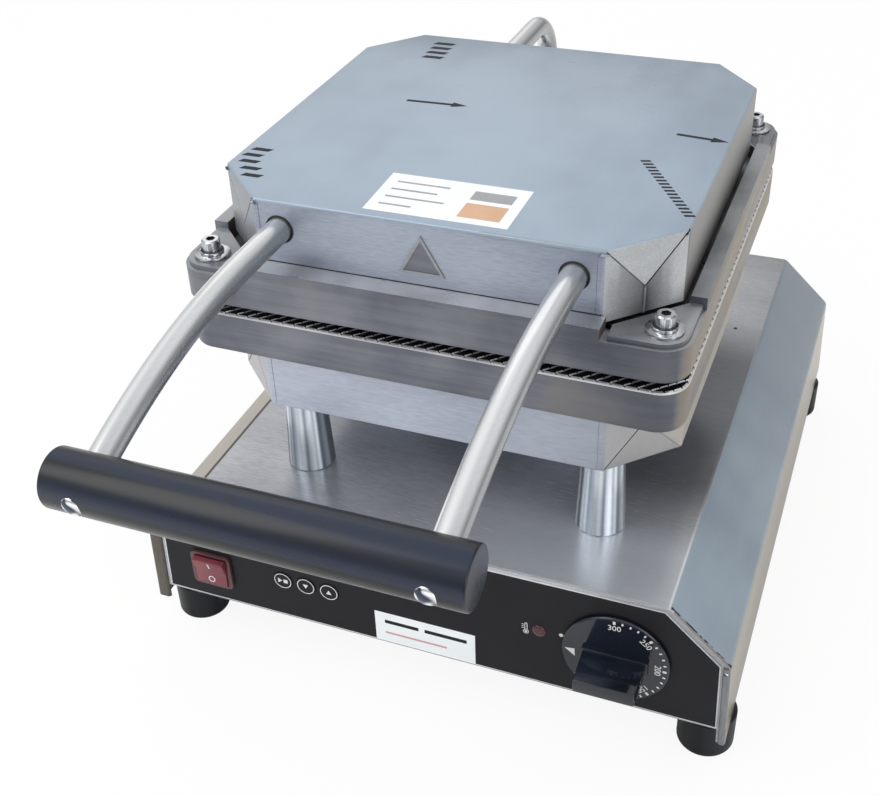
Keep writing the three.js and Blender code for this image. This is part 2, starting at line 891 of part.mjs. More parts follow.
// Heaters: a bar bent to and fro below the lower plate, and one above the upper plate
function heater([front, rear], z) {
  const run = insulationHalf - heaterInsetSide;
  const pitch = (rear - front - 2 * heaterInsetEnd) / (heaterRuns - 1);
  const bend = half(pitch);
  const path = new THREE.Path();
  let y = front + heaterInsetEnd;
  path.moveTo(-run, y);
  for (let i = 0; i < heaterRuns; i++) {
    const side = i % 2 ? -1 : 1;
    path.lineTo(side * run, y);
    if (i < heaterRuns - 1) {
      path.absarc(side * run, y + bend, bend, -quarterTurn, side * halfTurn - quarterTurn, side < 0);
    }
    y += pitch;
  }
  const laid = new THREE.Matrix4().makeTranslation(0, 0, z);
  return bar(heaterRadius, path, laid, heaterSteps, hexagon);
}
const lowerHeaterZ = lowerPlateBottom - fit - heaterRadius;
const upperHeaterZ = pocketFloor + fit + heaterRadius;
const lowerSpan = [casingFront + insulationInsetEnd, casingRear - insulationInsetEnd];
const upperSpan = [bossEnd + insulationBehindBoss, hoodLength - conduitInside - fit];
put(base, "lower_heater", heater(lowerSpan, lowerHeaterZ), zincSteel);
put(lid, "upper_heater", heater(upperSpan, upperHeaterZ), zincSteel);

const lowerInsulation = block(
  [-insulationHalf, insulationHalf],
  lowerSpan,
  [casingBottom + sheet, lowerHeaterZ - heaterRadius - fit],
);
put(base, "lower_insulation", lowerInsulation, wool);
const upperInsulationBottom = upperHeaterZ + heaterRadius + fit;
const upperInsulation = block(
  [-insulationHalf, insulationHalf],
  upperSpan,
  [upperInsulationBottom, upperInsulationBottom + upperInsulationHeight],
);
put(lid, "upper_insulation", upperInsulation, wool);
const bulbPlace = alongX(0, plateMiddle, lowerPlateBottom - fit - bulbRadius);
const bulb = rod(bulbRadius, -half(bulbLength), half(bulbLength), bulbPlace, coarse);
put(base, "thermostat_bulb", bulb, brass);

// Upper plate: a slab with a pocket for the hood, ledges around it, corner platforms and two sockets
const hoodOutline = cutRectangle(hoodHalf, 0, hoodLength, hoodFrontCut, hoodRearCut);
const pocketOutline = inset(hoodOutline, [
  -pocketCornerGap,
  -pocketSideGap,
  -pocketCornerGap,
  -fit,
  -pocketCornerGap,
  -pocketSideGap,
  -pocketCornerGap,
  -fit,
]);
const tubeBoreEnd = tubeBuried + fit;

function upperPlate() {
  const above = ledgeTop + overrun;
  const rebateZ = cornerTop - rebateDrop;
  const [, [, sideFront], [, sideRear]] = pocketOutline;
  const ends = [
    [plateFront - overrun, sideFront, -fit],
    [plateRear + overrun, sideRear, hoodLength + fit],
  ];
  const inner = roundRectangle(
    plateHalf - rebateSetback,
    plateFront + rebateSetback,
    plateRear - rebateSetback,
    plateCorner - rebateSetback,
  );
  const kept = prismZ(inner, rebateZ - overrun, above);
  let plate = prismZ(plateOutline, upperPlateBottom, ledgeTop);
  plate = plate.subtract(prismZ(pocketOutline, pocketFloor, above));
  for (const side of Object.values(sides)) {
    for (const [outside, inside, pocketEnd] of ends) {
      const cornerX = mirrored(side, ledgeEnd, plateHalf + overrun);
      const cornerY = [Math.min(outside, inside), Math.max(outside, inside)];
      const slotX = mirrored(side, ledgeEnd, ledgeEnd + slotWidth);
      const slotY = [Math.min(outside, pocketEnd), Math.max(outside, pocketEnd)];
      plate = plate.subtract(block(cornerX, cornerY, [cornerTop, above]));
      plate = plate.subtract(block(cornerX, cornerY, [rebateZ, above]).subtract(kept));
      plate = plate.subtract(block(slotX, slotY, [rebateZ, above]));
    }
    for (const y of Object.values(screwYs)) {
      const at = alongZ(side * screwX, y, 0);
      plate = plate.subtract(rod(screwRadius + fit, cornerTop - screwDepth - fit, above, at, coarse));
    }
    const boss = block(
      centred(side * tubeX, bossWidth),
      [bossStart, bossEnd],
      [pocketFloor - half(upperFloorThickness), tubeZ + tubeRadius + bossAbove],
    );
    const bore = rod(tubeRadius + fit, bossStart - overrun, tubeBoreEnd, alongY(side * tubeX, 0, tubeZ));
    plate = plate.add(boss).subtract(bore);
  }
  return plate;
}
put(lid, "upper_plate", upperPlate(), castIron);

// Hood: a folded cover whose front and rear walls stand on the pocket's floor
function hood() {
  const above = hoodTop + overrun;
  const shell = prismZ(hoodOutline, pocketFloor, hoodTop);
  const inside = prismZ(inset(hoodOutline, sheet), pocketFloor - overrun, hoodTop - sheet);
  let cover = shell.subtract(inside);
  for (const side of Object.values(sides)) {
    cover = cover.subtract(
      block(
        mirrored(side, hoodHalf - hoodFrontCut[0], hoodHalf + overrun),
        [-overrun, hoodLength + overrun],
        [pocketFloor - overrun, pocketFloor + hoodLift],
      ),
    );
    const hole = alongY(side * tubeX, 0, tubeZ);
    cover = cover.subtract(rod(tubeRadius + fit, -overrun, sheet + overrun, hole));
  }
  const rearHole = [hoodLength - sheet - overrun, hoodLength + overrun];
  return cover.subtract(rod(conduitRadius + fit, ...rearHole, alongY(conduitX, 0, conduitZ)));
}
put(lid, "hood", hood(), filmedSteel);

const badgeTop = hoodTop - badgeDrop;
const badge = prismY(
  [
    [-half(badgeWidth), badgeTop - badgeTall],
    [half(badgeWidth), badgeTop - badgeTall],
    [0, badgeTop],
  ],
  -badgeThickness,
  0,
);
put(lid, "badge", badge, zincSteel);

// Corner screws: wide washer, spring washer and socket head
const washerTop = cornerTop + washerHeight;
const washer = turned(
  [
    [screwRadius + fit, 0],
    [washerRadius, 0],
    [washerRadius, washerHeight],
    [screwRadius + fit, washerHeight],
    [screwRadius + fit, 0],
  ],
  alongZ(0, 0, 0),
);
const headStart = springWasherHeight;
const headEnd = springWasherHeight + screwHeadHeight;
const capScrew = turned(
  [
    [0, -washerHeight - screwDepth],
    [screwRadius, -washerHeight - screwDepth],
    [screwRadius, 0],
    [springWasherRadius, 0],
    [springWasherRadius, headStart],
    [screwHeadRadius, headStart],
    [screwHeadRadius, headEnd - screwHeadEdge],
    [screwHeadRadius - screwHeadEdge, headEnd],
    [0, headEnd],
  ],
  alongZ(0, 0, 0),
).subtract(rod(screwSocket, headEnd - screwSocketDepth, headEnd + overrun, alongZ(0, 0, 0), hexagon));
for (const [sideName, side] of Object.entries(sides)) {
  for (const [endName, y] of Object.entries(screwYs)) {
    put(lid, `washer_${endName}_${sideName}`, washer, zincSteel, [side * screwX, y, cornerTop]);
    put(lid, `cap_screw_${endName}_${sideName}`, capScrew, brightSteel, [side * screwX, y, washerTop]);
  }
}

// Handle: two tubes that run straight out of the hood and then bend down to the grip
function handleTube(side) {
  const path = new THREE.Path();
  path.moveTo(tubeBuried, tubeZ);
  path.lineTo(-tubeStraight, tubeZ);
  path.absarc(-tubeStraight, tubeZ - handleBend, handleBend, quarterTurn, quarterTurn + handleTurn, false);
  const laid = sideways.clone().setPosition(side * tubeX, 0, 0);
  return bar(tubeRadius, path, laid, tubeSteps, round);
}
for (const [sideName, side] of Object.entries(sides)) {
  put(lid, `handle_tube_${sideName}`, handleTube(side), brushedSteel);
}

const seatRadius = gripRadius - gripScrewSeat;
const gripScrewLeans = halfTurn + gripScrewLean * degree;
function grip() {
  const end = half(gripLength);
  let solid = turned(
    [
      [0, -end],
      [gripRadius - gripEdge, -end],
      [gripRadius, -end + gripEdge],
      [gripRadius, end - gripEdge],
      [gripRadius - gripEdge, end],
      [0, end],
    ],
    alongX(0, gripY, gripZ),
    fine,
  );
  for (const side of Object.values(sides)) {
    const tubeHole = leaning(handleTurn, side * tubeX, gripY, gripZ);
    const screwHole = leaning(gripScrewLeans, side * gripScrewX, gripY, gripZ);
    solid = solid.subtract(rod(tubeRadius + fit, -fit, gripRadius + overrun, tubeHole));
    solid = solid.subtract(rod(gripScrewHead + fit, seatRadius, gripRadius + overrun, screwHole));
    solid = solid.subtract(
      rod(gripScrewRadius + fit, seatRadius - gripScrewLength - fit, gripRadius, screwHole, coarse),
    );
  }
  return solid;
}
put(lid, "handle_grip", grip(), blackMatt);

const gripScrewSeatFace = seatRadius + fit;
const gripScrewProfile = [
  [0, gripScrewSeatFace - gripScrewLength],
  [gripScrewRadius, gripScrewSeatFace - gripScrewLength],
  [gripScrewRadius, gripScrewSeatFace],
  [gripScrewHead, gripScrewSeatFace],
  [gripScrewHead, gripScrewSeatFace + half(gripScrewDome)],
  [half(gripScrewHead), gripScrewSeatFace + gripScrewDome],
  [0, gripScrewSeatFace + gripScrewDome],
];
for (const [sideName, side] of Object.entries(sides)) {
  const place = leaning(gripScrewLeans, side * gripScrewX, gripY, gripZ);
  put(lid, `handle_screw_${sideName}`, turned(gripScrewProfile, place), brightSteel);
}

// Hinge: lugs on the rear faces of both plates, side by side on one pin
function lug(inner, low) {
  const arm = [
    [plateRear, low],
    [pivotY, pivotZ - lugRadius],
    [pivotY, pivotZ + lugRadius],
    [plateRear, low + lugFoot],
  ];
  const place = alongX(0, pivotY, pivotZ);
  const eye = rod(lugRadius, inner, inner + lugThickness, place);
  const hole = rod(pinRadius + fit, inner - overrun, inner + lugThickness + overrun, place);
  return prismX(arm, inner, inner + lugThickness).add(eye).subtract(hole);
}
const lowerLugX = lugX + lugThickness + lugGap;
for (const [sideName, side] of Object.entries(sides)) {
  const upperInner = side > 0 ? lugX : -lugX - lugThickness;
  const lowerInner = side > 0 ? lowerLugX : -lowerLugX - lugThickness;
  const lowerFoot = lowerPlateTop - lugFootStart - lugFoot;
  const upperFoot = upperPlateBottom + lugFootStart;
  put(base, `hinge_lug_lower_${sideName}`, lug(lowerInner, lowerFoot), castIron);
  put(lid, `hinge_lug_upper_${sideName}`, lug(upperInner, upperFoot), castIron);
}
const pinSeat = lowerLugX + lugThickness + fit;
const pin = turned(
  [
    [0, -pinSeat - pinHeadLength],
    [pinHead, -pinSeat - pinHeadLength],
    [pinHead, -pinSeat],
    [pinRadius, -pinSeat],
    [pinRadius, pinSeat],
    [pinHead, pinSeat],
    [pinHead, pinSeat + pinHeadLength],
    [0, pinSeat + pinHeadLength],
  ],
  alongX(0, pivotY, pivotZ),
);
put(base, "hinge_pin", pin, brightSteel);

// Wire conduit: out of the hood's rear wall, over in a bend and down to its bushing
function conduit() {
  const path = new THREE.Path();
  const bendY = hoodLength + conduitOut;
  path.moveTo(hoodLength - conduitInside, conduitZ);
  path.lineTo(bendY, conduitZ);
  path.absarc(bendY, conduitZ - conduitBend, conduitBend, quarterTurn, 0, true);
  path.lineTo(conduitRear, conduitEnd);
  const laid = sideways.clone().setPosition(conduitX, 0, 0);
  return bar(conduitRadius, path, laid, conduitSteps, round);
}
put(lid, "conduit_tube", conduit(), brushedSteel);
const bushing = turned(
  [
    [conduitRadius + fit, -bushingPast],
    [bushingRadius, -bushingPast],
    [bushingRadius, bushingHeight - bushingPast],
    [conduitRadius + fit, bushingHeight - bushingPast],
    [conduitRadius + fit, -bushingPast],
  ],
  alongZ(0, 0, 0),
);
put(lid, "conduit_bushing", bushing, blackRubber, [conduitX, conduitRear, conduitEnd]);

// The origin is below the middle of the whole, on the ground.
const gripScrewReach = gripScrewProfile.map(
  ([radius, along]) => along * Math.cos(gripScrewLean * degree) + radius * Math.sin(gripScrewLean * degree),
);
const frontmost = gripY - Math.max(gripRadius, ...gripScrewReach);
const rearmost = baseRear + glandOut;
machine.position.y = -half(frontmost + rearmost);

export default machine;
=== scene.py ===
# A countertop iron for thin round waffles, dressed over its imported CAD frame.
# Metres, Z up, front towards -Y.
import math
from contextlib import contextmanager

import bmesh
import bpy
from mathutils import Matrix, Vector


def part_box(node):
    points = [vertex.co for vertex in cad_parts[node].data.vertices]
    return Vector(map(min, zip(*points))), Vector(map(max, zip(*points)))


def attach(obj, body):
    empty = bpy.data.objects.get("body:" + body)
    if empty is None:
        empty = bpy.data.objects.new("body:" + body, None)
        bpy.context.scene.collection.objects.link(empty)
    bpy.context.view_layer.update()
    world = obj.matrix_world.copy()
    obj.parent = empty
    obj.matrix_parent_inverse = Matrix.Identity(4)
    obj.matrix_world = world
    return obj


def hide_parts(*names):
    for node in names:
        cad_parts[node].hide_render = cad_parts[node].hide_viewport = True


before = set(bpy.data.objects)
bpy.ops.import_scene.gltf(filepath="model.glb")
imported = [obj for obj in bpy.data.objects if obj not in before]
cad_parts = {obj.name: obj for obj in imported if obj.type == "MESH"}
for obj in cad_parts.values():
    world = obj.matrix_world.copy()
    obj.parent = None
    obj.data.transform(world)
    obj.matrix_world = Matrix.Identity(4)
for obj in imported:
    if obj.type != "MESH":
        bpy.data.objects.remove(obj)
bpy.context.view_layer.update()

LEFT, RIGHT = -1, 1
SIDES = (("left", LEFT), ("right", RIGHT))
ACROSS, ALONG, UP = Vector((1, 0, 0)), Vector((0, 1, 0)), Vector((0, 0, 1))

# Camera, as the photograph was taken
EYE = (0.2222, -0.6125, 0.6070)
EYE_TURN = (54.77, 1.906, 21.191)
LENS = 51.17

# Places and sizes that several pieces share
HOOD_LOW, HOOD_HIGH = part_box("hood")
LOWER_LOW, LOWER_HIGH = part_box("lower_plate")
UPPER_LOW, UPPER_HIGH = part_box("upper_plate")
CASING_LOW, CASING_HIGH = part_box("lower_casing")
BASE_LOW, BASE_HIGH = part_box("base_housing")
PANEL_LOW, PANEL_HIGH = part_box("front_panel")
DIAL_LOW, DIAL_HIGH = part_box("thermostat_knob")
GRIP_LOW, GRIP_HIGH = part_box("handle_grip")
TUBE_LOW, TUBE_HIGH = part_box("handle_tube_right")
CONDUIT_LOW, CONDUIT_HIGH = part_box("conduit_tube")
TUBE_RADIUS, CONDUIT_RADIUS = (TUBE_HIGH.x - TUBE_LOW.x) / 2, (CONDUIT_HIGH.x - CONDUIT_LOW.x) / 2
TUBE_X, CONDUIT_X = (TUBE_LOW.x + TUBE_HIGH.x) / 2, (CONDUIT_LOW.x + CONDUIT_HIGH.x) / 2
TUBE_Z, CONDUIT_Z = TUBE_HIGH.z - TUBE_RADIUS, CONDUIT_HIGH.z - CONDUIT_RADIUS
DIAL_X = (DIAL_LOW.x + DIAL_HIGH.x) / 2
DIAL_Z = (DIAL_LOW.z + DIAL_HIGH.z) / 2
SHEET = 0.0015
FOLD = 0.0014
PLATE_CORNER = 0.016
# How far a mark stands out from the panel, a key or the dial
MARK = 0.0001


# Modelling steps

def added(primitive, name, **settings):
    """Adds one primitive with nothing else selected."""
    bpy.ops.object.select_all(action="DESELECT")
    primitive(**settings)
    piece = bpy.context.active_object
    piece.name = piece.data.name = name
    return piece


def linked(name, data):
    piece = bpy.data.objects.new(name, data)
    bpy.context.collection.objects.link(piece)
    return piece


def disc(name, facets, radius=1, height=0):
    return added(bpy.ops.mesh.primitive_circle_add, name, vertices=facets, radius=radius,
                 fill_type="NGON", location=(0, 0, height))


def choose(*pieces):
    bpy.ops.object.select_all(action="DESELECT")
    for piece in pieces:
        piece.select_set(True)
    bpy.context.view_layer.objects.active = pieces[0]


def settle(piece, place=None):
    """Puts place, turn and scale into the mesh, after one more move if a matrix is given."""
    if place is not None:
        piece.matrix_world = place @ piece.matrix_world
    choose(piece)
    bpy.ops.object.transform_apply(location=True, rotation=True, scale=True)
    return piece


@contextmanager
def editing(piece, element="FACE", test=None):
    """Edit mode with nothing selected, or only the faces or edges that pass a test."""
    choose(piece)
    bpy.ops.object.mode_set(mode="EDIT")
    bpy.ops.mesh.select_mode(type=element)
    bpy.ops.mesh.select_all(action="DESELECT")
    if test:
        (pick_edges if element == "EDGE" else pick_faces)(piece, test)
    yield
    bpy.ops.object.mode_set(mode="OBJECT")


@contextmanager
def growing(piece):
    """Edit mode with all selected; the faces are turned outwards at the end."""
    with editing(piece):
        pick_all()
        yield
        pick_all()
        bpy.ops.mesh.normals_make_consistent(inside=False)


def pick_all():
    bpy.ops.mesh.select_all(action="SELECT")


def draw_out(*run):
    bpy.ops.mesh.extrude_region_move(TRANSFORM_OT_translate={"value": run})


def pick_faces(piece, test):
    """In edit mode, selects the faces whose middle and normal pass the test."""
    mesh = bmesh.from_edit_mesh(piece.data)
    for face in mesh.faces:
        face.select_set(test(face.calc_center_median(), face.normal))
    bmesh.update_edit_mesh(piece.data)


def pick_edges(piece, test):
    """In edit mode, selects the edges whose two ends pass the test."""
    mesh = bmesh.from_edit_mesh(piece.data)
    for edge in mesh.edges:
        edge.select_set(test(edge.verts[0].co, edge.verts[1].co))
    bmesh.update_edit_mesh(piece.data)


def in_front(spot, normal):
    return normal.y < -0.9


def block(name, corner, opposite):
    """A box between two opposite corners."""
    low, high = Vector(map(min, corner, opposite)), Vector(map(max, corner, opposite))
    piece = added(bpy.ops.mesh.primitive_cube_add, name, size=1, location=(low + high) / 2)
    piece.scale = high - low
    return settle(piece)


def facing(axis, origin=(0, 0, 0)):
    """The place of a piece drawn along +Z, set at origin with its +Z along axis."""
    return Matrix.Translation(origin) @ Vector(axis).to_track_quat("Z", "Y").to_matrix().to_4x4()


def rotation(degrees, axis="Z"):
    return Matrix.Rotation(math.radians(degrees), 4, axis)


def turned(name, profile, axis=UP, origin=(0, 0, 0), facets=48):
    """A disc drawn out ring by ring through the profile's (radius, distance along the axis)."""
    (radius, height), *rings = profile
    piece = settle(disc(name, facets, radius, height))
    with growing(piece):
        for next_radius, next_height in rings:
            draw_out(0, 0, next_height - height)
            grow = next_radius / radius
            bpy.ops.transform.resize(value=(grow, grow, 1), center_override=(0, 0, next_height))
            radius, height = next_radius, next_height
    return settle(piece, facing(axis, origin))


def bent_bar(name, radius, start, run, bend, centre, steps, further=None):
    """A round bar: a disc drawn out by run, turned by bend degrees about centre, and run on."""
    piece = settle(disc(name, 48, radius), facing(run, start))
    with growing(piece):
        draw_out(*run)
        bpy.ops.mesh.spin(steps=steps, angle=math.radians(-bend), center=centre, axis=ACROSS)
        draw_out(*(further or (0, 0, 0)))
        pick_all()
        bpy.ops.mesh.remove_doubles(threshold=0.000001)
    return shade(piece)


def round_part(name, body, finish, profile, axis, origin, facets=48, angle=30, node=None):
    """A turned piece, shaded smooth up to the angle, with its finish and body."""
    piece = shade(turned(name, profile, axis, origin, facets), angle)
    return carried(piece, body, finish, node=node)


def dome(radius, height, base, steps=6):
    """Profile pairs of a low dome, from its rim to a small flat at its top."""
    turns = [math.radians(90) * step / steps for step in range(steps)]
    rings = [(radius * math.cos(turn), base + height * math.sin(turn)) for turn in turns]
    return [*rings, (radius * 0.06, base + height)]


def round_edge(radius, edge, start, steps):
    """Profile pairs of an end with a rounded edge, which begins at start."""
    turns = [math.radians(90) * step / steps for step in range(steps + 1)]
    return [(radius - edge + edge * math.sin(turn), start + edge - edge * math.cos(turn))
            for turn in turns]


def mirrored(profile):
    """A profile followed by its mirror image."""
    return [*profile, *[(radius, -height) for radius, height in reversed(profile)]]


def outlined(name, spots):
    """A flat face with its corners at the spots."""
    piece = disc(name, len(spots))
    for vertex, spot in zip(piece.data.vertices, spots):
        vertex.co = spot
    return piece


def flat_mark(name, points, z=0, thickness=MARK):
    """A thin mark with straight sides, from its corners seen from above."""
    piece = outlined(name, [(x, y, z) for x, y in points])
    with growing(piece):
        draw_out(0, 0, thickness)
    return piece


def box_mark(name, left, low, right, high, z=0, thickness=MARK):
    points = [(left, low), (right, low), (right, high), (left, high)]
    return flat_mark(name, points, z, thickness)


def ring_mark(name, radius, width):
    piece = disc(name, 48, radius)
    with growing(piece):
        bpy.ops.mesh.inset(thickness=width)
        bpy.ops.mesh.delete(type="FACE")
        pick_all()
        draw_out(0, 0, MARK)
    return piece


def lettered(name, text, size):
    """Plain figures, drawn flat and a little thick."""
    piece = added(bpy.ops.object.text_add, name)
    piece.data.body, piece.data.size, piece.data.extrude = text, size, MARK / 2
    piece.data.align_x, piece.data.align_y = "CENTER", "CENTER"
    choose(piece)
    bpy.ops.object.convert(target="MESH")
    return bpy.context.active_object


def stood(piece, x, y, z):
    """Sets a mark that was drawn flat upright, on a face that looks to the front."""
    return settle(piece, Matrix.Translation((x, y, z)) @ rotation(90, "X"))


def applied(piece, kind, **settings):
    """Adds one modifier and applies it."""
    choose(piece)
    modifier = piece.modifiers.new(kind, kind)
    for key, value in settings.items():
        setattr(modifier, key, value)
    bpy.ops.object.modifier_apply(modifier=modifier.name)
    return piece


def cut(piece, cutter, solver="EXACT", operation="DIFFERENCE"):
    """Takes the cutter out of the piece, or leaves only what lies inside it."""
    applied(piece, "BOOLEAN", operation=operation, object=cutter, solver=solver)
    bpy.data.objects.remove(cutter)
    return piece


def shade(piece, angle=30):
    choose(piece)
    bpy.ops.object.shade_smooth_by_angle(angle=math.radians(angle))
    return piece


def soften(piece, width, segments=3, angle=35):
    """Rounds every edge that is sharper than the angle, and shades the rest smooth."""
    applied(piece, "BEVEL", width=width, segments=segments, limit_method="ANGLE",
            angle_limit=math.radians(angle), use_clamp_overlap=True)
    return shade(piece, angle)


def joined(name, *pieces):
    choose(*pieces)
    bpy.ops.object.join()
    pieces[0].name = pieces[0].data.name = name
    return pieces[0]


def from_node(node, name):
    """A merged copy of a CAD solid with its flat faces whole, as the start of a finer piece."""
    piece = linked(name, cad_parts[node].data.copy())
    piece.data.materials.clear()
    with editing(piece, "VERT"):
        pick_all()
        bpy.ops.mesh.remove_doubles(threshold=0.00001)
        bpy.ops.mesh.dissolve_limited(angle_limit=math.radians(1))
    return piece


def round_node(node, axis=UP):
    """A round node's corners, its radius, and its middle with the part along its axis left out."""
    low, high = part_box(node)
    origin = [0 if along else value for value, along in zip((low + high) / 2, axis)]
    return low, high, (high.x - low.x) / 2, Vector(origin)


def carried(piece, body, *finishes, node=None, part=None):
    """Gives a finished piece its materials and its body, and hides the CAD node that it stands for.
    """
    piece.data.materials.clear()
    for finish in finishes:
        piece.data.materials.append(finish)
    if part:
        for face in piece.data.polygons:
            face.material_index = finishes.index(part(face.center, face.normal))
    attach(piece, body)
    if node:
        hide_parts(node)
    return piece


# Materials

def tint(code):
    """A colour written as six hexadecimal digits, in the light values that shaders use."""
    parts = [int(code[at : at + 2], 16) / 255 for at in (0, 2, 4)]
    light = [p / 12.92 if p <= 0.04045 else ((p + 0.055) / 1.055) ** 2.4 for p in parts]
    return (*light, 1)


class Term:
    """One output of a shader node, which sums and products can use."""

    def __init__(self, nodes, socket):
        self.nodes, self.socket = nodes, socket

    def __add__(self, other):
        return self.nodes.sum("ADD", self, other)

    def __sub__(self, other):
        return self.nodes.sum("SUBTRACT", self, other)

    def __rsub__(self, other):
        return self.nodes.sum("SUBTRACT", other, self)

    def __mul__(self, other):
        return self.nodes.sum("MULTIPLY", self, other)

    __radd__ = __add__
    __rmul__ = __mul__


class Nodes:
    """A node tree, and the one way in which nodes are added to it."""

    def __init__(self, tree):
        self.tree = tree

    def node(self, kind, settings=None, inputs=None, outlet=0):
        """Any node: its type, settings, its sockets' values or links, and the output wanted."""
        made = self.tree.nodes.new(kind)
        for key, value in (settings or {}).items():
            setattr(made, key, value)
        for key, value in (inputs or {}).items():
            if isinstance(value, Term):
                self.tree.links.new(value.socket, made.inputs[key])
            else:
                made.inputs[key].default_value = value
        return Term(self, made.outputs[outlet])

    def sum(self, operation, *values):
        return self.node("ShaderNodeMath", {"operation": operation}, dict(enumerate(values)))

    def share(self, vector, axis):
        return self.node("ShaderNodeSeparateXYZ", inputs={0: vector}, outlet=axis)


class Finish(Nodes):
    """One material: its nodes, and the patterns that it is made from."""

    def __init__(self, name, **constants):
        self.material = bpy.data.materials.new(name)
        self.material.use_nodes = True
        super().__init__(self.material.node_tree)
        self.shader = self.tree.nodes["Principled BSDF"]
        for key, value in constants.items():
            socket = key.replace("_", " ").title().replace("Ior", "IOR")
            self.shader.inputs[socket].default_value = value
        self.place = self.node("ShaderNodeTexCoord", outlet="Object")
        self.facing = self.node("ShaderNodeTexCoord", outlet="Normal")

    def noise(self, size, stretch=(1, 1, 1), detail=2, seed=0):
        """Soft noise about 0.5 whose cells are size across, drawn out along X, Y and Z."""
        scale = [1 / (size * by) for by in stretch]
        inputs = {0: self.place, 1: (seed, seed, seed), 3: scale}
        spot = self.node("ShaderNodeMapping", inputs=inputs)
        inputs = {"Vector": spot, "Scale": 1, "Detail": detail}
        return self.node("ShaderNodeTexNoise", inputs=inputs)

    def sheen(self, width=0.3, seed=0):
        """Painted reflection: bands that change only with the way a round piece faces, as turned
        metal shows.
        """
        spot = self.node("ShaderNodeMapping", inputs={0: self.facing, 1: (seed, seed, seed)})
        inputs = {"Vector": spot, "Scale": 1 / width, "Detail": 0}
        return self.node("ShaderNodeTexNoise", inputs=inputs)

    def step(self, value, low, high):
        """0 below low, 1 above high, smooth between."""
        settings = {"interpolation_type": "SMOOTHSTEP"}
        return self.node("ShaderNodeMapRange", settings, {0: value, 1: low, 2: high})

    def along(self, axis):
        """The object's own coordinate along one axis."""
        return self.share(self.place, axis)

    def normal(self, axis):
        """How far the surface faces along one axis, either way."""
        return self.sum("ABSOLUTE", self.share(self.facing, axis))

    def mix(self, factor, first, second):
        first, second = (tint(end) if isinstance(end, str) else end for end in (first, second))
        inputs = {0: factor, 6: first, 7: second}
        return self.node("ShaderNodeMix", {"data_type": "RGBA"}, inputs, 2)

    def toned(self, dark, light, *patterns, middle=0.5):
        """A colour between dark and light, as the patterns push its tone up and down."""
        return self.mix(self.step(around(middle, *patterns), 0, 1), dark, light)

    def feed(self, **terms):
        for key, term in terms.items():
            self.tree.links.new(term.socket, self.shader.inputs[key.replace("_", " ").title()])

    def done(self, colour, roughness, height, depth):
        """Feeds the shader with a colour, a roughness and a bump, and gives the material."""
        bump = self.node("ShaderNodeBump", inputs={"Height": height, "Distance": depth})
        self.feed(base_color=colour, roughness=roughness, normal=bump)
        return self.material


def around(value, *patterns):
    """A value that patterns, each about 0.5, push up and down by their weights."""
    for pattern, weight in patterns:
        value = value + (pattern - 0.5) * weight
    return value


def brushed(name, dark, light, axis=0, roughness=0.3, metallic=0.85, painted_side_tone=None, right=0.0,
            near_plates=False):
    """Brushed metal: fine lines and short streaks along one axis, over broad bands and clouds."""
    finish = Finish(name, metallic=metallic)

    def drawn(size, longer, detail=2, seed=0):
        return finish.noise(size, [longer if at == axis else 1 for at in range(3)], detail, seed)

    lines, bands = drawn(0.00025, 60, detail=3), drawn(0.006, 14, seed=3)
    streaks, clouds = drawn(0.0008, 8, seed=11), finish.noise(0.09, detail=1, seed=7)
    colour = finish.toned(dark, light, (lines, 0.4), (bands, 0.25), (streaks, 0.7), (clouds, 1.6))
    # Painted shade: the sheet darkens towards the right, away from the key lamp.
    if right:
        colour = finish.mix(finish.step(finish.along(0), 0, 0.11) * right, colour, "5b5e66")
    if near_plates:
        colour = beside_plates(finish, colour)
    # Painted light on faces that look sideways: a tan painted reflection on the sides of the base
    # and the casing, and painted shade on the hood's walls.
    if painted_side_tone:
        colour = finish.mix(finish.step(finish.normal(0), 0.5, 0.9) * 0.8, colour, painted_side_tone)
    return finish.done(colour, around(roughness, (lines, 0.1), (clouds, 0.1)), lines, 0.000007)


def beside_plates(finish, colour):
    """The sheet's top: painted shade beside the plates on the right, for their shadow and their
    dark reflection, and a painted pool of light along the front.
    """
    level = finish.step(finish.normal(2), 0.9, 0.98)
    right = finish.step(finish.along(0), 0.06, 0.10)
    rear = finish.along(1)
    plate_shade = level * right * finish.step(rear, -0.065, -0.01) * (1 - finish.step(rear, 0.12, 0.20))
    near = 1 - finish.step(rear, -0.085, -0.05)
    front_light = level * finish.step(finish.along(0), -0.02, 0.06) * near
    return finish.mix(front_light * 0.6, finish.mix(plate_shade * 0.72, colour, "33343a"), "e3e8ee")


def film(name, dark, light, rear=0.0):
    """Thin film on sheet metal, with blisters and long soft ripples, darker towards the rear."""
    finish = Finish(name, metallic=0.25, coat_weight=0.15, coat_roughness=0.25)
    clouds, ripples = finish.noise(0.09), finish.noise(0.022, (1, 3, 1), detail=3, seed=5)
    blisters = finish.step(finish.noise(0.004, detail=1, seed=2), 0.62, 0.8)
    colour = finish.toned(dark, light, (clouds, 2.0), (ripples, 0.9))
    colour = finish.mix(finish.step(finish.along(1), -0.05, 0.25) * rear, colour, "565b62")
    height = ripples * 0.6 + blisters * 0.15
    return finish.done(colour, around(0.36, (ripples, 0.3)), height, 0.0006)


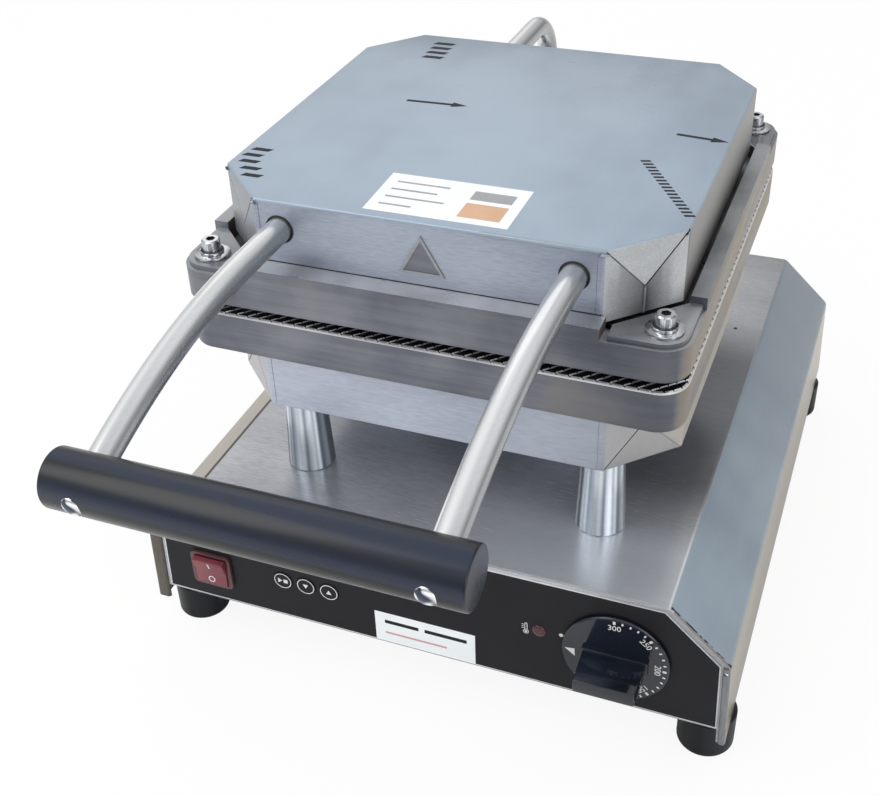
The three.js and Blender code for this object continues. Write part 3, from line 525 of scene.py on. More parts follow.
def milled(name, dark, light, heated, roughness=0.4, right=0.0):
    """Machined cast metal: cutter lines along the sides, brown heat tints in clouds, and a brown
    tone on faces that look sideways.
    """
    finish = Finish(name, metallic=0.75)
    lines = finish.noise(0.0004, (60, 60, 1), detail=3)
    bands = finish.noise(0.004, (30, 30, 1), seed=4)
    clouds = finish.noise(0.05, detail=3, seed=9)
    colour = finish.toned(dark, light, (lines, 0.5), (bands, 0.5), (clouds, 1.8))
    side = finish.step(finish.normal(0), 0.6, 0.95)
    # Painted shade: faces that do not look sideways darken towards the right, away from the key
    # lamp.
    right_shade = finish.step(finish.along(0), 0, 0.13) * (1 - side) * right
    warm = side * around(0.55, (bands, 0.9)) + finish.step(clouds, 0.52, 0.7) * 0.25
    colour = finish.mix(finish.step(warm, 0, 1), finish.mix(right_shade, colour, "23272f"), heated)
    return finish.done(colour, around(roughness, (lines, 0.3), (clouds, 0.2)), lines, 0.00004)


def turned_metal(name, dark, light, roughness=0.22, metallic=1.0, sheen=0.28, contrast=2.6,
                 sides=0.0):
    """Bright turned metal: soft bands of painted reflection round it, faint rings along its height
    and a fine grain.
    """
    finish = Finish(name, metallic=metallic)
    rings = finish.noise(0.0006, (400, 400, 1))
    grain, bands = finish.noise(0.0003, detail=1, seed=4), finish.sheen(sheen)
    colour = finish.toned(dark, light, (rings, 0.15), (grain, 0.25), (bands, contrast))
    # Painted light: faces that look to the right darken as painted shade, and faces that look to
    # the left lighten as a painted highlight.
    if sides:
        across = finish.share(finish.facing, 0)
        colour = finish.mix(finish.step(across, 0.6, 1.0) * sides, colour, "4f5257")
        colour = finish.mix((1 - finish.step(across, -0.1, 0.45)) * sides, colour, "fafbfc")
    return finish.done(colour, around(roughness, (grain, 0.1), (bands, 0.12)), grain, 0.000006)


def moulded(name, dark, light, roughness, grain=0.0006, depth=0.00005, **constants):
    """Moulded plastic, rubber or lacquer: a fine pebbled skin with slow changes of tone."""
    finish = Finish(name, **constants)
    pebbles, clouds = finish.noise(grain), finish.noise(0.04, seed=6)
    colour = finish.toned(dark, light, (pebbles, 0.8), (clouds, 1.4))
    return finish.done(colour, around(roughness, (clouds, 0.16), (pebbles, 0.08)), pebbles, depth)


def lacquered(name, dark, light, roughness=0.24, **constants):
    """Smooth dark rubber or lacquer, with long soft bands of cool light round it."""
    finish = Finish(name, **constants)
    bands, streaks = finish.sheen(0.45, seed=2), finish.noise(0.004, (30, 1, 1))
    grain = finish.noise(0.0005, detail=1, seed=5)
    colour = finish.toned(dark, light, (bands, 3.4), (streaks, 0.5), middle=0.4)
    return finish.done(colour, around(roughness, (streaks, 0.15), (grain, 0.05)), grain, 0.00001)


def seasoned(name, dark, light, roughness=0.42):
    """Baking face, dark and a little oily with use."""
    finish = Finish(name, metallic=0.5)
    marks, clouds = finish.noise(0.0012, (1, 8, 1), detail=3), finish.noise(0.05, seed=8)
    colour = finish.toned(dark, light, (marks, 0.9), (clouds, 1.4))
    return finish.done(colour, around(roughness, (marks, 0.3)), marks, 0.00005)


SHEET_STEEL = brushed("sheet_steel", "8f9197", "c0c2c6", 0, 0.24, 0.62, "a09480", near_plates=True)
SLANT_STEEL = brushed("slant_steel", "958d82", "b3aa9c", 1, 0.36)
WALL_STEEL = brushed("wall_steel", "848b9b", "a9b0be", 0, 0.36, 0.5, "7b776f")
# A lighter copy of the hood's wall steel, for the cut corners on the right: painted reflection.
CORNER_STEEL = brushed("corner_steel", "a1a4a7", "d2d5d7", 0, 0.34, 0.3)
CASING_STEEL = brushed("casing_steel", "9aa1b1", "bfc6d3", 0, 0.38, 0.6, "b9afa0", right=0.35)
# A lighter copy of the sheet steel for the front strip above the panel and the panel's rim: bare
# steel, lightened as a painted highlight.
EDGE_STEEL = brushed("edge_steel", "b2b5ba", "e0e2e5", 0, 0.3, 0.5)
# Two copies of one steel: the dark one is darkened as painted shade, for the left hem and the
# crease of the left top fold; the grey one is for the right hem.
HEM_STEEL = brushed("hem_steel", "4c4843", "6a655d", 2, 0.34, 0.8)
HEM_GREY = brushed("hem_grey", "76787b", "9c9ea1", 2, 0.3, 0.8)
TUBE_STEEL = turned_metal("tube_steel", "b4b7b9", "e9ecee", 0.22, 0.8, 0.6, 2.0, sides=0.6)
HOOD_FILM = film("hood_film", "8c9aaa", "9baab9")
SLANT_FILM = film("slant_film", "818e9b", "93a1ad", rear=0.3)
PLATE_IRON = milled("plate_iron", "5d606a", "85878f", "8c7f6b", right=0.5)
PLATE_TOP = milled("plate_top", "7c7f84", "a8abaf", "938b7d", 0.32)
PLATE_EDGE = milled("plate_edge", "b4b6ba", "dededf", "bfb4a2", 0.3)
BAKING_FACE = seasoned("baking_face", "141417", "24242a")
# The groove walls: a darker copy of the baking face as painted shade, and a bright copy as a
# painted highlight on the walls that look to the front right.
GROOVE_SHADE = seasoned("groove_shade", "0e0e11", "18181c")
GROOVE_HIGHLIGHT = seasoned("groove_highlight", "b4b7bd", "e6e8ec", 0.3)
BRIGHT_STEEL = turned_metal("bright_steel", "7f8389", "d9dbde", 0.18)
CHROME = turned_metal("chrome", "3f4656", "f0f1f3", 0.06, sheen=0.42, contrast=4.5)
STANDOFF_METAL = turned_metal("standoff_metal", "858f9a", "e6ecf3", 0.22, 0.65, 0.22)
ZINC = turned_metal("zinc", "8e8f8d", "bdbeba", 0.38, 0.9)
BRASS = turned_metal("brass", "9a7838", "c29f58", 0.3)
PANEL_BLACK = moulded("panel_black", "131317", "1a1a1f", 0.4, 0.0003, 0.00001,
                      specular_ior_level=0.18)
GRIP_BLACK = lacquered("grip_black", "080b11", "1e2839", 0.3, specular_ior_level=0.4)
DIAL_BLACK = moulded("dial_black", "0b0d14", "18202f", 0.12, 0.0008, 0.000005, coat_weight=0.2)
RUBBER = lacquered("rubber", "06070b", "141821", 0.42, specular_ior_level=0.25)
FRAME_RED = moulded("frame_red", "44272a", "5c3a3c", 0.34, 0.001, coat_weight=0.1)
ROCKER_RED = moulded("rocker_red", "68222e", "80313d", 0.34, 0.001, coat_weight=0.1)
LAMP_RED = moulded("lamp_red", "3a161f", "54222c", 0.24, 0.001, coat_weight=0.1)
PRINT_WHITE = moulded("print_white", "c9c9c8", "e2e2e1", 0.5)
PRINT_GREY = moulded("print_grey", "8d8f92", "a6a8ab", 0.5)
PRINT_DARK = moulded("print_dark", "0c0f14", "1a1e24", 0.5, specular_ior_level=0.2)
PRINT_TAN = moulded("print_tan", "c79a78", "d8b193", 0.5)
PRINT_ROSE = moulded("print_rose", "c08a8e", "d2a3a6", 0.5)
LABEL_PAPER = moulded("label_paper", "e6ecf0", "f2f6f8", 0.38, 0.0008, 0.00001)
# Near black, painted as the shade in gaps, holes and creases and under the panel.
PAINTED_SHADE = moulded("painted_shade", "101114", "191a1e", 0.6)
WOOL = moulded("mineral_wool", "b9b09a", "dcd5c2", 0.95, 0.002, 0.0008)
BOARD_GREEN = moulded("board_green", "24513a", "2f6548", 0.45)
GREY_PLASTIC = moulded("grey_plastic", "94979a", "acafb1", 0.5)


# Camera, light and floor

def studio():
    camera = linked("camera", bpy.data.cameras.new("camera"))
    camera.location = EYE
    camera.rotation_euler = [math.radians(turn) for turn in EYE_TURN]
    camera.data.lens, camera.data.sensor_width, camera.data.clip_start = LENS, 36, 0.01
    bpy.context.scene.camera = camera
    bpy.context.scene.view_settings.view_transform = "Standard"

    world = bpy.data.worlds.new("studio")
    bpy.context.scene.world = world
    world.use_nodes = True
    room = Nodes(world.node_tree)
    rays = [room.node("ShaderNodeLightPath", outlet=f"Is {kind} Ray")
            for kind in ("Camera", "Transmission")]
    height = room.share(room.node("ShaderNodeTexCoord", outlet="Generated"), "Z")
    # The room is darker towards the horizon than overhead, as bare walls are.
    walls = {"Value": height, "From Min": 0.05, "From Max": 0.85, "To Min": 0.48, "To Max": 1.0}
    light = room.node("ShaderNodeMapRange", {"interpolation_type": "SMOOTHSTEP"}, walls)
    # Rays from the camera see plain white instead.
    inputs = {"Value": room.sum("MAXIMUM", *rays), "To Min": light, "To Max": 1.0}
    strength = room.node("ShaderNodeMapRange", inputs=inputs)
    sky = room.tree.nodes["Background"]
    sky.inputs["Color"].default_value = (1, 1, 1, 1)
    room.tree.links.new(strength.socket, sky.inputs["Strength"])

    softbox("key_softbox", place=(-0.9, -0.9, 1.5), size=1.2, power=11)
    softbox("side_softbox", place=(1.2, -0.9, 0.8), size=0.9, power=5)
    softbox("rear_softbox", place=(-0.7, 1.5, 1.2), size=1.2, power=1.8)

    floor = added(bpy.ops.mesh.primitive_plane_add, "floor", size=12)
    finish = Finish("floor_white", roughness=0.9)
    finish.feed(base_color=finish.mix(finish.noise(0.4), "f1f1f0", "f6f6f5"))
    seen = finish.node("ShaderNodeLightPath", outlet="Is Camera Ray") * 0.9
    white = {"Color": (1, 1, 1, 1), "Strength": 1}
    shine = finish.node("ShaderNodeEmission", inputs=white)
    inputs = {0: seen, 1: Term(finish, finish.shader.outputs[0]), 2: shine}
    lift = finish.node("ShaderNodeMixShader", inputs=inputs)
    finish.tree.links.new(lift.socket, finish.tree.nodes["Material Output"].inputs["Surface"])
    floor.data.materials.append(finish.material)


def softbox(name, place, size, power):
    lamp = bpy.data.lights.new(name, "AREA")
    lamp.shape, lamp.size, lamp.energy = "SQUARE", size, power
    holder = linked(name, lamp)
    holder.location = place
    aim = Vector((0, 0, 0.15)) - holder.location
    holder.rotation_euler = aim.to_track_quat("-Z", "Y").to_euler()


# Folded sheet

# Width and depth of an open seam and of a press line
SEAM = (0.0008, 0.0007)
FOLD_LINE = (0.0004, 0.0003)
FOLD_LINE_INSET = 0.003
SEAM_DROP = 0.026


def corners(low, high, front_cut, rear_cut):
    """For each cut corner: its ends on the front or rear wall and on the side, and its facing."""
    for side, x in ((LEFT, low.x), (RIGHT, high.x)):
        for y, inward, (cut_x, cut_y) in ((low.y, 1, front_cut), (high.y, -1, rear_cut)):
            wall_end = Vector((x - side * cut_x, y, 0))
            side_end = Vector((x, y + inward * cut_y, 0))
            outward = (side_end - wall_end).cross(UP)
            if outward.dot(wall_end - (low + high) / 2) < 0:
                outward = -outward
            yield wall_end, side_end, outward


def folded_tray(name, low, high, cuts, open_face):
    """A box of folded sheet with cut corners and rounded folds, open on one side."""
    piece = block(name, low, high)
    with editing(piece):
        for spot, _, outward in corners(low, high, *cuts):
            pick_all()
            bpy.ops.mesh.bisect(plane_co=spot, plane_no=outward, use_fill=True, clear_outer=True,
                                threshold=1e-7)
        bpy.ops.mesh.select_all(action="DESELECT")
        pick_faces(piece, lambda spot, normal: normal.z * open_face > 0.9)
        bpy.ops.mesh.delete(type="ONLY_FACE")
        bpy.ops.mesh.select_mode(type="EDGE")
        rim = high.z if open_face > 0 else low.z
        pick_edges(piece, lambda a, b: max(abs(a.z - rim), abs(b.z - rim)) >= 1e-6)
        bpy.ops.mesh.bevel(offset=FOLD, segments=4)
    return applied(piece, "SOLIDIFY", thickness=SHEET, offset=-1, use_even_offset=True)


def scored(piece, lines, width, depth):
    """Cuts narrow open seams along lines, each given by its ends and the way its wall faces."""
    bars = []
    for start, end, outward in lines:
        run = (end - start).normalized()
        bar = block("seam", (-width / 2, -depth, 0), (width / 2, depth, (end - start).length))
        turn = Matrix((outward.cross(run), outward, run)).transposed().to_4x4()
        bars.append(settle(bar, Matrix.Translation(start) @ turn))
    for bar in bars:
        cut(piece, bar)
    return piece


def corner_seams(low, high, cuts, meet, crown, foot):
    """The seams of the flaps over each cut corner: two arms from the crown, and a stem."""
    lines = []
    for wall_end, side_end, outward in corners(low, high, *cuts):
        outward = outward.normalized()
        centre = (wall_end + side_end) / 2 + UP * meet
        lines.append((wall_end + UP * crown, centre, outward))
        lines.append((side_end + UP * crown, centre, outward))
        lines.append((centre, (wall_end + side_end) / 2 + UP * foot, outward))
    return lines


def fold_lines(low, high, front_cut):
    """The faint upright press lines on the front wall, a little inside its folds."""
    reach = (high.x - low.x) / 2 - front_cut[0] - FOLD_LINE_INSET
    middle = (low + high) / 2
    return [
        (Vector((x, low.y, low.z - SHEET)), Vector((x, low.y, high.z - 2 * FOLD)), -ALONG)
        for x in (middle.x - reach, middle.x + reach)
    ]


# Hood of the lid, with its film, prints and badge

# How far the corners are cut, across and along, at the front and at the rear
HOOD_CUTS = ((0.0345, 0.0347), (0.0288, 0.0342))
FRONT_REACH = HOOD_HIGH.x - HOOD_CUTS[0][0]
HOOD_LIFT = 0.008
FILM_THICKNESS = 0.0002
PRINT_THICKNESS = 0.00008
LEDGE_TOP = UPPER_LOW.z + 0.0251


def hood():
    low, high = HOOD_LOW.copy(), HOOD_HIGH.copy()
    high.z -= FILM_THICKNESS
    piece = folded_tray("hood_cover", low, high, HOOD_CUTS, -1)
    for side, x in ((LEFT, low.x), (RIGHT, high.x)):
        inner, outer = x - side * HOOD_CUTS[0][0], x + side * SHEET
        cut(piece, block("raised_side", (inner, low.y - SHEET, low.z - SHEET),
                         (outer, high.y + SHEET, low.z + HOOD_LIFT)))
    tube_hole, half = TUBE_RADIUS + 0.0006, 0.005
    for x, y, z, radius in (
        (LEFT * TUBE_X, low.y, TUBE_Z, tube_hole),
        (RIGHT * TUBE_X, low.y, TUBE_Z, tube_hole),
        (CONDUIT_X, high.y, CONDUIT_Z, CONDUIT_RADIUS + 0.0004),
    ):
        cut(piece, turned("hole", [(radius, -half), (radius, half)], ALONG, (x, y, z)))
    seams = corner_seams(low, high, HOOD_CUTS, high.z - SEAM_DROP, high.z, low.z + HOOD_LIFT)
    scored(piece, seams, *SEAM)
    scored(piece, fold_lines(low, high, HOOD_CUTS[0]), *FOLD_LINE)

    def part(spot, normal):
        if normal.z > 0.25 and spot.z > high.z - 2 * FOLD:
            return HOOD_FILM
        # Cut corners that look to the right take the lighter corner steel as a painted reflection.
        return CORNER_STEEL if normal.x > 0.5 and abs(normal.y) > 0.5 else WALL_STEEL

    carried(shade(piece), "lid", WALL_STEEL, HOOD_FILM, CORNER_STEEL, node="hood", part=part)


def hood_gap():
    """A dark strip of painted shade in the gap under the hood's front wall, where it meets the
    plate's ledge.
    """
    low = Vector((-FRONT_REACH, HOOD_LOW.y - 0.0003, LEDGE_TOP - 0.0002))
    high = Vector((FRONT_REACH, HOOD_LOW.y + 0.0010, LEDGE_TOP + 0.0004))
    carried(soften(block("hood_gap", low, high), 0.0001, 2), "lid", PAINTED_SHADE)


def film_edge():
    """The film's rolled edge along the front fold, and a loose curl at each end of the cuts."""
    radius, start, taper = 0.0013, 0.031, 0.003
    y, z = HOOD_LOW.y + 0.0006, HOOD_HIGH.z - radius - 0.0001
    length = FRONT_REACH + 0.001 - start
    profile = [(radius * 0.5, 0), (radius, taper), (radius, length - taper), (radius * 0.7, length)]
    round_part("film_roll", "lid", SLANT_FILM, profile, ACROSS, (start, y, z), 16, 40)
    curl_z = HOOD_HIGH.z - 0.0030
    for name, side in SIDES:
        front = Vector((side * FRONT_REACH, HOOD_LOW.y + 0.0012, curl_z))
        back = Vector((side * (HOOD_HIGH.x - 0.0015), HOOD_LOW.y + HOOD_CUTS[0][1], curl_z))
        curl(f"film_curl_front_{name}", 0.0018, 0.0055, Vector((side * 0.8, 0.5, -0.3)), front)
        curl(f"film_curl_side_{name}", 0.0016, 0.0050, Vector((side * 0.2, 0.9, -0.5)), back)


def curl(name, radius, length, direction, place):
    """A loose end of film, rolled into an open cone that runs along direction."""
    piece = added(bpy.ops.mesh.primitive_cone_add, name, vertices=28, radius1=radius,
                  radius2=radius * 0.35, depth=length, end_fill_type="NOTHING")
    with editing(piece, "FACE", lambda spot, normal: normal.y > 0.35):
        bpy.ops.mesh.delete(type="FACE")
    applied(piece, "SOLIDIFY", thickness=0.00018, offset=0)
    shade(settle(piece, facing(direction)), 50)
    carried(settle(piece, Matrix.Translation(place)), "lid", HOOD_FILM)


def dash(name, start, end, width, z, lean=0.0):
    """A printed bar between two points, its ends cut at a lean."""
    start, end = Vector(start), Vector(end)
    run = (end - start).normalized()
    across = Vector((-run.y, run.x)) * width / 2
    slip = run * lean
    right = [start - across - slip, end - across - slip]
    left = [end + across + slip, start + across + slip]
    return flat_mark(name, right + left, z, PRINT_THICKNESS)


def arrow(name, start, end, z):
    """A plain direction arrow with a long shaft."""
    start, end = Vector(start), Vector(end)
    run = (end - start).normalized()
    side = Vector((-run.y, run.x)) * 0.0034
    neck = end - run * 0.0095
    shaft = dash(name, start, neck, 0.0026, z)
    head = flat_mark(name + "_head", [neck + side, neck - side, end], z, PRINT_THICKNESS)
    return joined(name, shaft, head)


def hood_prints():
    top = HOOD_HIGH.z - FILM_THICKNESS
    above = top + PRINT_THICKNESS

    def at(x, y):
        return x, y + HOOD_LOW.y

    def patch(name, left, low, right, high, finish):
        piece = box_mark(name, *at(left, low), *at(right, high), above, PRINT_THICKNESS)
        carried(piece, "lid", finish)

    for name, start, end in (("left", at(-0.0678, 0.1477), at(-0.0294, 0.1492)),
                             ("right", at(0.0988, 0.1445), at(0.1285, 0.1415))):
        carried(arrow(f"film_arrow_{name}", start, end, top), "lid", PRINT_DARK)
    start, end, gaps = Vector(at(0.0905, 0.1045)), Vector(at(0.1265, 0.0475)), 16
    run = end - start
    half = run.normalized() * 0.0010
    marks = []
    for place in range(gaps + 1):
        spot = start + run * place / gaps
        marks.append(dash("film_dash", spot - half, spot + half, 0.0052, top, lean=0.0008))
    carried(joined("film_dashes", *marks), "lid", PRINT_DARK)
    bars = []
    for half, width, places in (
        (0.0055, 0.0036, ((-0.1085, 0.0245), (-0.1135, 0.0325), (-0.1185, 0.0405),
                          (-0.1205, 0.0485), (-0.1190, 0.0565))),
        (0.0065, 0.0040, ((-0.0795, 0.221), (-0.0800, 0.2295), (-0.0805, 0.238),
                          (-0.0810, 0.2465))),
    ):
        for x, y in places:
            bars.append(dash("film_bar", at(x - half, y), at(x + half, y), width, top, lean=0.001))
    carried(joined("film_bars", *bars), "lid", PRINT_DARK)

    edge = [at(-0.0345, 0.0062), at(0.0442, 0.0064), at(0.0441, 0.0503), at(-0.0355, 0.0503)]
    carried(flat_mark("hood_label", edge, top, PRINT_THICKNESS), "lid", LABEL_PAPER)
    lines, x = [], -0.029
    for row, length in enumerate((0.030, 0.026, 0.033, 0.018)):
        y = 0.041 - row * 0.0088
        lines.append(dash("label_line", at(x, y), at(x + length, y), 0.0016, above))
    carried(joined("label_lines", *lines), "lid", PRINT_GREY)
    patch("label_patch", 0.015, 0.012, 0.038, 0.028, PRINT_TAN)
    patch("label_strip", 0.015, 0.032, 0.038, 0.042, PRINT_GREY)


def badge():
    """Raised triangle: a plain field inside a narrow rim."""
    low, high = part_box("badge")
    rim, sunk = 0.0014, 0.0005
    across = (low.x, low.z), (high.x, low.z), ((low.x + high.x) / 2, high.z)
    piece = outlined("badge_triangle", [(x, high.y, z) for x, z in across])
    with growing(piece):
        draw_out(0, low.y - high.y, 0)
        bpy.ops.mesh.inset(thickness=rim, depth=0)
        draw_out(0, sunk, 0)

    # The raised rim takes the lighter plate finish as a painted highlight and the sunk field the
    # darker one as painted shade; the badge itself is one colour.
    def part(spot, normal):
        return PLATE_IRON if spot.y > low.y + 0.0003 and normal.y < -0.5 else PLATE_TOP

    carried(piece, "lid", PLATE_TOP, PLATE_IRON, node="badge", part=part)


# Baking plates

GROOVE_PITCH = 0.005
GROOVE_DEPTH = 0.0006
GROOVE_CLEAR = 0.0001
GROOVE_COUNT = 87
GROOVE_LENGTH = 0.46
# Each family's turn in degrees, and its shift as a share of the pitch
GROOVE_FAMILIES = ((45, 0.0), (-45, 0.5))
PLATE_FINISHES = (PLATE_IRON, PLATE_TOP, PLATE_EDGE, BAKING_FACE, GROOVE_SHADE, GROOVE_HIGHLIGHT)
LOWER_RIM = 0.0016
UPPER_RIM = 0.0045


def groove_bars(middle, z, turn, shift):
    """A family of slim bars on their corners, turned and shifted by a share of their pitch."""
    bar = added(bpy.ops.mesh.primitive_cylinder_add, "grooves", vertices=4,
                radius=GROOVE_DEPTH + GROOVE_CLEAR, depth=GROOVE_LENGTH,
                rotation=(0, math.radians(90), 0))
    settle(bar)
    applied(bar, "ARRAY", count=GROOVE_COUNT, use_relative_offset=False, use_constant_offset=True,
            constant_offset_displace=(0, GROOVE_PITCH, 0))
    centred = Matrix.Translation((0, GROOVE_PITCH * (shift - (GROOVE_COUNT - 1) / 2), 0))
    return settle(bar, Matrix.Translation((middle.x, middle.y, z)) @ rotation(turn) @ centred)


def lower_plate():
    piece = block("lower_baking_plate", LOWER_LOW, LOWER_HIGH)
    with editing(piece, "EDGE", lambda a, b: abs(a.z - b.z) > 0.01):
        bpy.ops.mesh.bevel(offset=PLATE_CORNER, segments=14)
        bpy.ops.mesh.select_mode(type="FACE")
        pick_faces(piece, lambda spot, normal: abs(normal.z) > 0.9)
        bpy.ops.mesh.bevel(offset=0.0014, segments=2)
    middle = (LOWER_LOW + LOWER_HIGH) / 2
    for family in GROOVE_FAMILIES:
        cut(piece, groove_bars(middle, LOWER_HIGH.z + GROOVE_CLEAR, *family), "MANIFOLD")
    part = plate_part(LOWER_HIGH.z, 1)
    carried(shade(piece, 25), "base", *PLATE_FINISHES, node="lower_plate", part=part)


def upper_plate():
    piece = from_node("upper_plate", "upper_baking_plate")
    middle = (UPPER_LOW + UPPER_HIGH) / 2
    soften(piece, 0.0005, 2, angle=40)
    rim = Vector((UPPER_RIM, UPPER_RIM, 0))
    high = UPPER_HIGH - rim
    high.z = UPPER_LOW.z + SHEET
    for family in GROOVE_FAMILIES:
        bars = groove_bars(middle, UPPER_LOW.z - GROOVE_CLEAR, *family)
        inside = block("inside_rim", UPPER_LOW + rim - UP * SHEET, high)
        cut(piece, cut(bars, inside, "MANIFOLD", "INTERSECT"), "MANIFOLD")
    part = plate_part(UPPER_LOW.z, -1)
    carried(shade(piece, 25), "lid", *PLATE_FINISHES, node="upper_plate", part=part)


def plate_part(baking_height, up):
    """Which finish a face of a baking plate has, from where it is and the way it looks."""

    def part(spot, normal):
        if up * (spot.z - baking_height) < -0.0022:
            if normal.z <= 0.9:
                return PLATE_IRON
            # The ledge's top in front of the hood takes the lighter edge finish: bare machined
            # metal, lightened as a painted highlight.
            ledge = spot.y < HOOD_LOW.y and abs(spot.x) < FRONT_REACH
            return PLATE_EDGE if ledge else PLATE_TOP
        # The lower plate's rim band is bare machined metal, lightened as a painted highlight.
        if abs(spot.z - baking_height) < 0.0013 and near_rim(spot) and abs(normal.z) < 0.95:
            return PLATE_EDGE if up > 0 else PLATE_IRON
        if abs(normal.z) > 0.95:
            return BAKING_FACE
        if abs(normal.z) < 0.2:
            return PLATE_IRON
        # Groove walls that look to the front right get a painted highlight, the others painted
        # shade.
        return GROOVE_HIGHLIGHT if normal.x > 0.3 and normal.y < -0.3 else GROOVE_SHADE

    return part


def near_rim(spot):
    """Whether a spot lies in the narrow band round a plate's edge."""
    middle = (LOWER_LOW + LOWER_HIGH) / 2
    half = (LOWER_HIGH - LOWER_LOW) / 2
    reach_x, reach_y = abs(spot.x - middle.x), abs(spot.y - middle.y)
    over_x, over_y = reach_x - half.x + PLATE_CORNER, reach_y - half.y + PLATE_CORNER
    if over_x > 0 and over_y > 0:
        return math.hypot(over_x, over_y) > PLATE_CORNER - LOWER_RIM
    return max(reach_x - half.x, reach_y - half.y) > -LOWER_RIM


def lower_casing():
    low, high = CASING_LOW, CASING_HIGH
    cuts = ((0.0355, 0.0355), (0.0355, 0.0355))
    piece = folded_tray("lower_tray", low, high, cuts, 1)
    scored(piece, corner_seams(low, high, cuts, low.z + SEAM_DROP, low.z, high.z), *SEAM)
    scored(piece, fold_lines(low, high, cuts[0]), *FOLD_LINE)
    carried(shade(piece), "base", CASING_STEEL, node="lower_casing")


# Screws, nuts, stand-offs and feet

def centre_of(node):
    low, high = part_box(node)
    return (low + high) / 2


def at_corners(master, pattern, body, *finishes, finish_part=None):
    """Copies a piece that was modelled at the front left to the places of four CAD nodes."""
    first = centre_of(pattern.format("front", "left"))
    for node in [pattern.format(end, side) for end in ("front", "rear") for side, _ in SIDES]:
        centre = centre_of(node)
        twin = linked(f"{node}_piece", master.data.copy())
        twin.data.transform(Matrix.Translation(centre - first))
        carried(twin, body, *finishes, node=node, part=finish_part and finish_part(centre))
    bpy.data.objects.remove(master)


def cap_screws():
    low, high, _, origin = round_node("cap_screw_front_left")
    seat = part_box("washer_front_left")[1].z
    lock = seat + 0.0016
    radius, edge, thread, slit = 0.0052, 0.0008, 0.003, 0.0004
    shank = turned("shank", [(thread, low.z), (thread, seat)], origin=origin, facets=24)
    inner, outer, fillet = 0.0063, 0.0067, 0.0003
    profile = [(inner, seat), (outer, seat + fillet), (outer, lock - fillet), (inner, lock)]
    ring = turned("spring_washer", profile, origin=origin, facets=40)
    cut(ring, block("gap", (origin.x + 0.004, origin.y - slit, seat),
                    (origin.x + 0.009, origin.y + slit, lock)))
    shade(ring)
    profile = [(radius, lock), (radius, high.z - edge), (radius - edge, high.z)]
    head = turned("head", profile, origin=origin, facets=64)
    with editing(head):
        knurls = {}
        mesh = bmesh.from_edit_mesh(head.data)
        for face in mesh.faces:
            spot = face.calc_center_median()
            if abs(face.normal.z) < 0.1:
                knurls[math.atan2(spot.y - origin.y, spot.x - origin.x)] = face
        for count, turn in enumerate(sorted(knurls)):
            knurls[turn].select_set(count % 2 == 0)
        bmesh.update_edit_mesh(head.data)
        bpy.ops.mesh.inset(thickness=0.00008, use_individual=True)
        bpy.ops.transform.shrink_fatten(value=-0.00018)
    profile = [(0.0027, high.z - 0.0022), (0.0027, high.z + 0.001)]
    cut(head, turned("socket", profile, origin=origin, facets=6))
    shade(head, 20)

    def finish_part(centre):
        def part(spot, normal):
            inside = math.hypot(spot.x - centre.x, spot.y - centre.y) < 0.0030
            # The socket's floor is painted shade.
            deep = inside and lock < spot.z < high.z - 0.0002 and normal.z > 0.9
            return PAINTED_SHADE if deep else BRIGHT_STEEL

        return part

    screw_piece = joined("cap_screw", head, ring, shade(shank))
    at_corners(screw_piece, "cap_screw_{}_{}", "lid", BRIGHT_STEEL, PAINTED_SHADE,
               finish_part=finish_part)


def washers():
    low, high, radius, origin = round_node("washer_front_left")
    bore, clear = 0.0033, 0.001
    piece = turned("washer", [(radius, low.z), (radius, high.z)], origin=origin, facets=64)
    profile = [(bore, low.z - clear), (bore, high.z + clear)]
    cut(piece, turned("hole", profile, origin=origin, facets=32))
    at_corners(soften(piece, 0.0003, 2), "washer_{}_{}", "lid", BRIGHT_STEEL)


def lower_bolts():
    low, high, _, origin = round_node("lower_bolt_front_left")
    top, thread = LOWER_LOW.z, 0.003
    nut = turned("nut", [(0.0058, top - 0.0052), (0.0058, top)], origin=origin, facets=6)
    soften(nut, 0.0004, 2)
    profile = [(0.0024, low.z), (thread, low.z + 0.0006), (thread, high.z)]
    pieces = [nut, shade(turned("stud", profile, origin=origin, facets=24))]
    for turn in range(4):
        z = low.z + 0.0009 + turn * 0.0008
        profile = [(thread, z), (0.00318, z + 0.0002), (thread, z + 0.0004)]
        pieces.append(turned("thread", profile, origin=origin, facets=24))
    at_corners(joined("bolt", *pieces), "lower_bolt_{}_{}", "base", ZINC)


def standoffs():
    low, high, foot, origin = round_node("standoff_front_left")
    top, edge = 0.012, 0.0005
    profile = [(foot - edge, low.z), (foot, low.z + 0.0006), (top, high.z - edge),
               (top - edge, high.z)]
    piece = turned("standoff", profile, origin=origin, facets=72)
    at_corners(shade(piece, 20), "standoff_{}_{}", "base", STANDOFF_METAL)


def feet():
    _, high, radius, origin = round_node("foot_front_left")
    waist, neck = high.z - 0.0028, 0.012
    profile = [*round_edge(radius, 0.003, 0, 7), (radius, waist), (radius - 0.0008, waist + 0.0010),
               (neck + 0.0006, high.z - 0.0004), (neck, high.z)]
    piece = turned("foot", profile, origin=origin, facets=64)
    at_corners(shade(piece, 35), "foot_{}_{}", "base", RUBBER)


# Handle and conduit

HANDLE_STRAIGHT = 0.040
HANDLE_TURN = 22.65
CONDUIT_BEND = 0.035
SCREW_LEAN = math.radians(13)


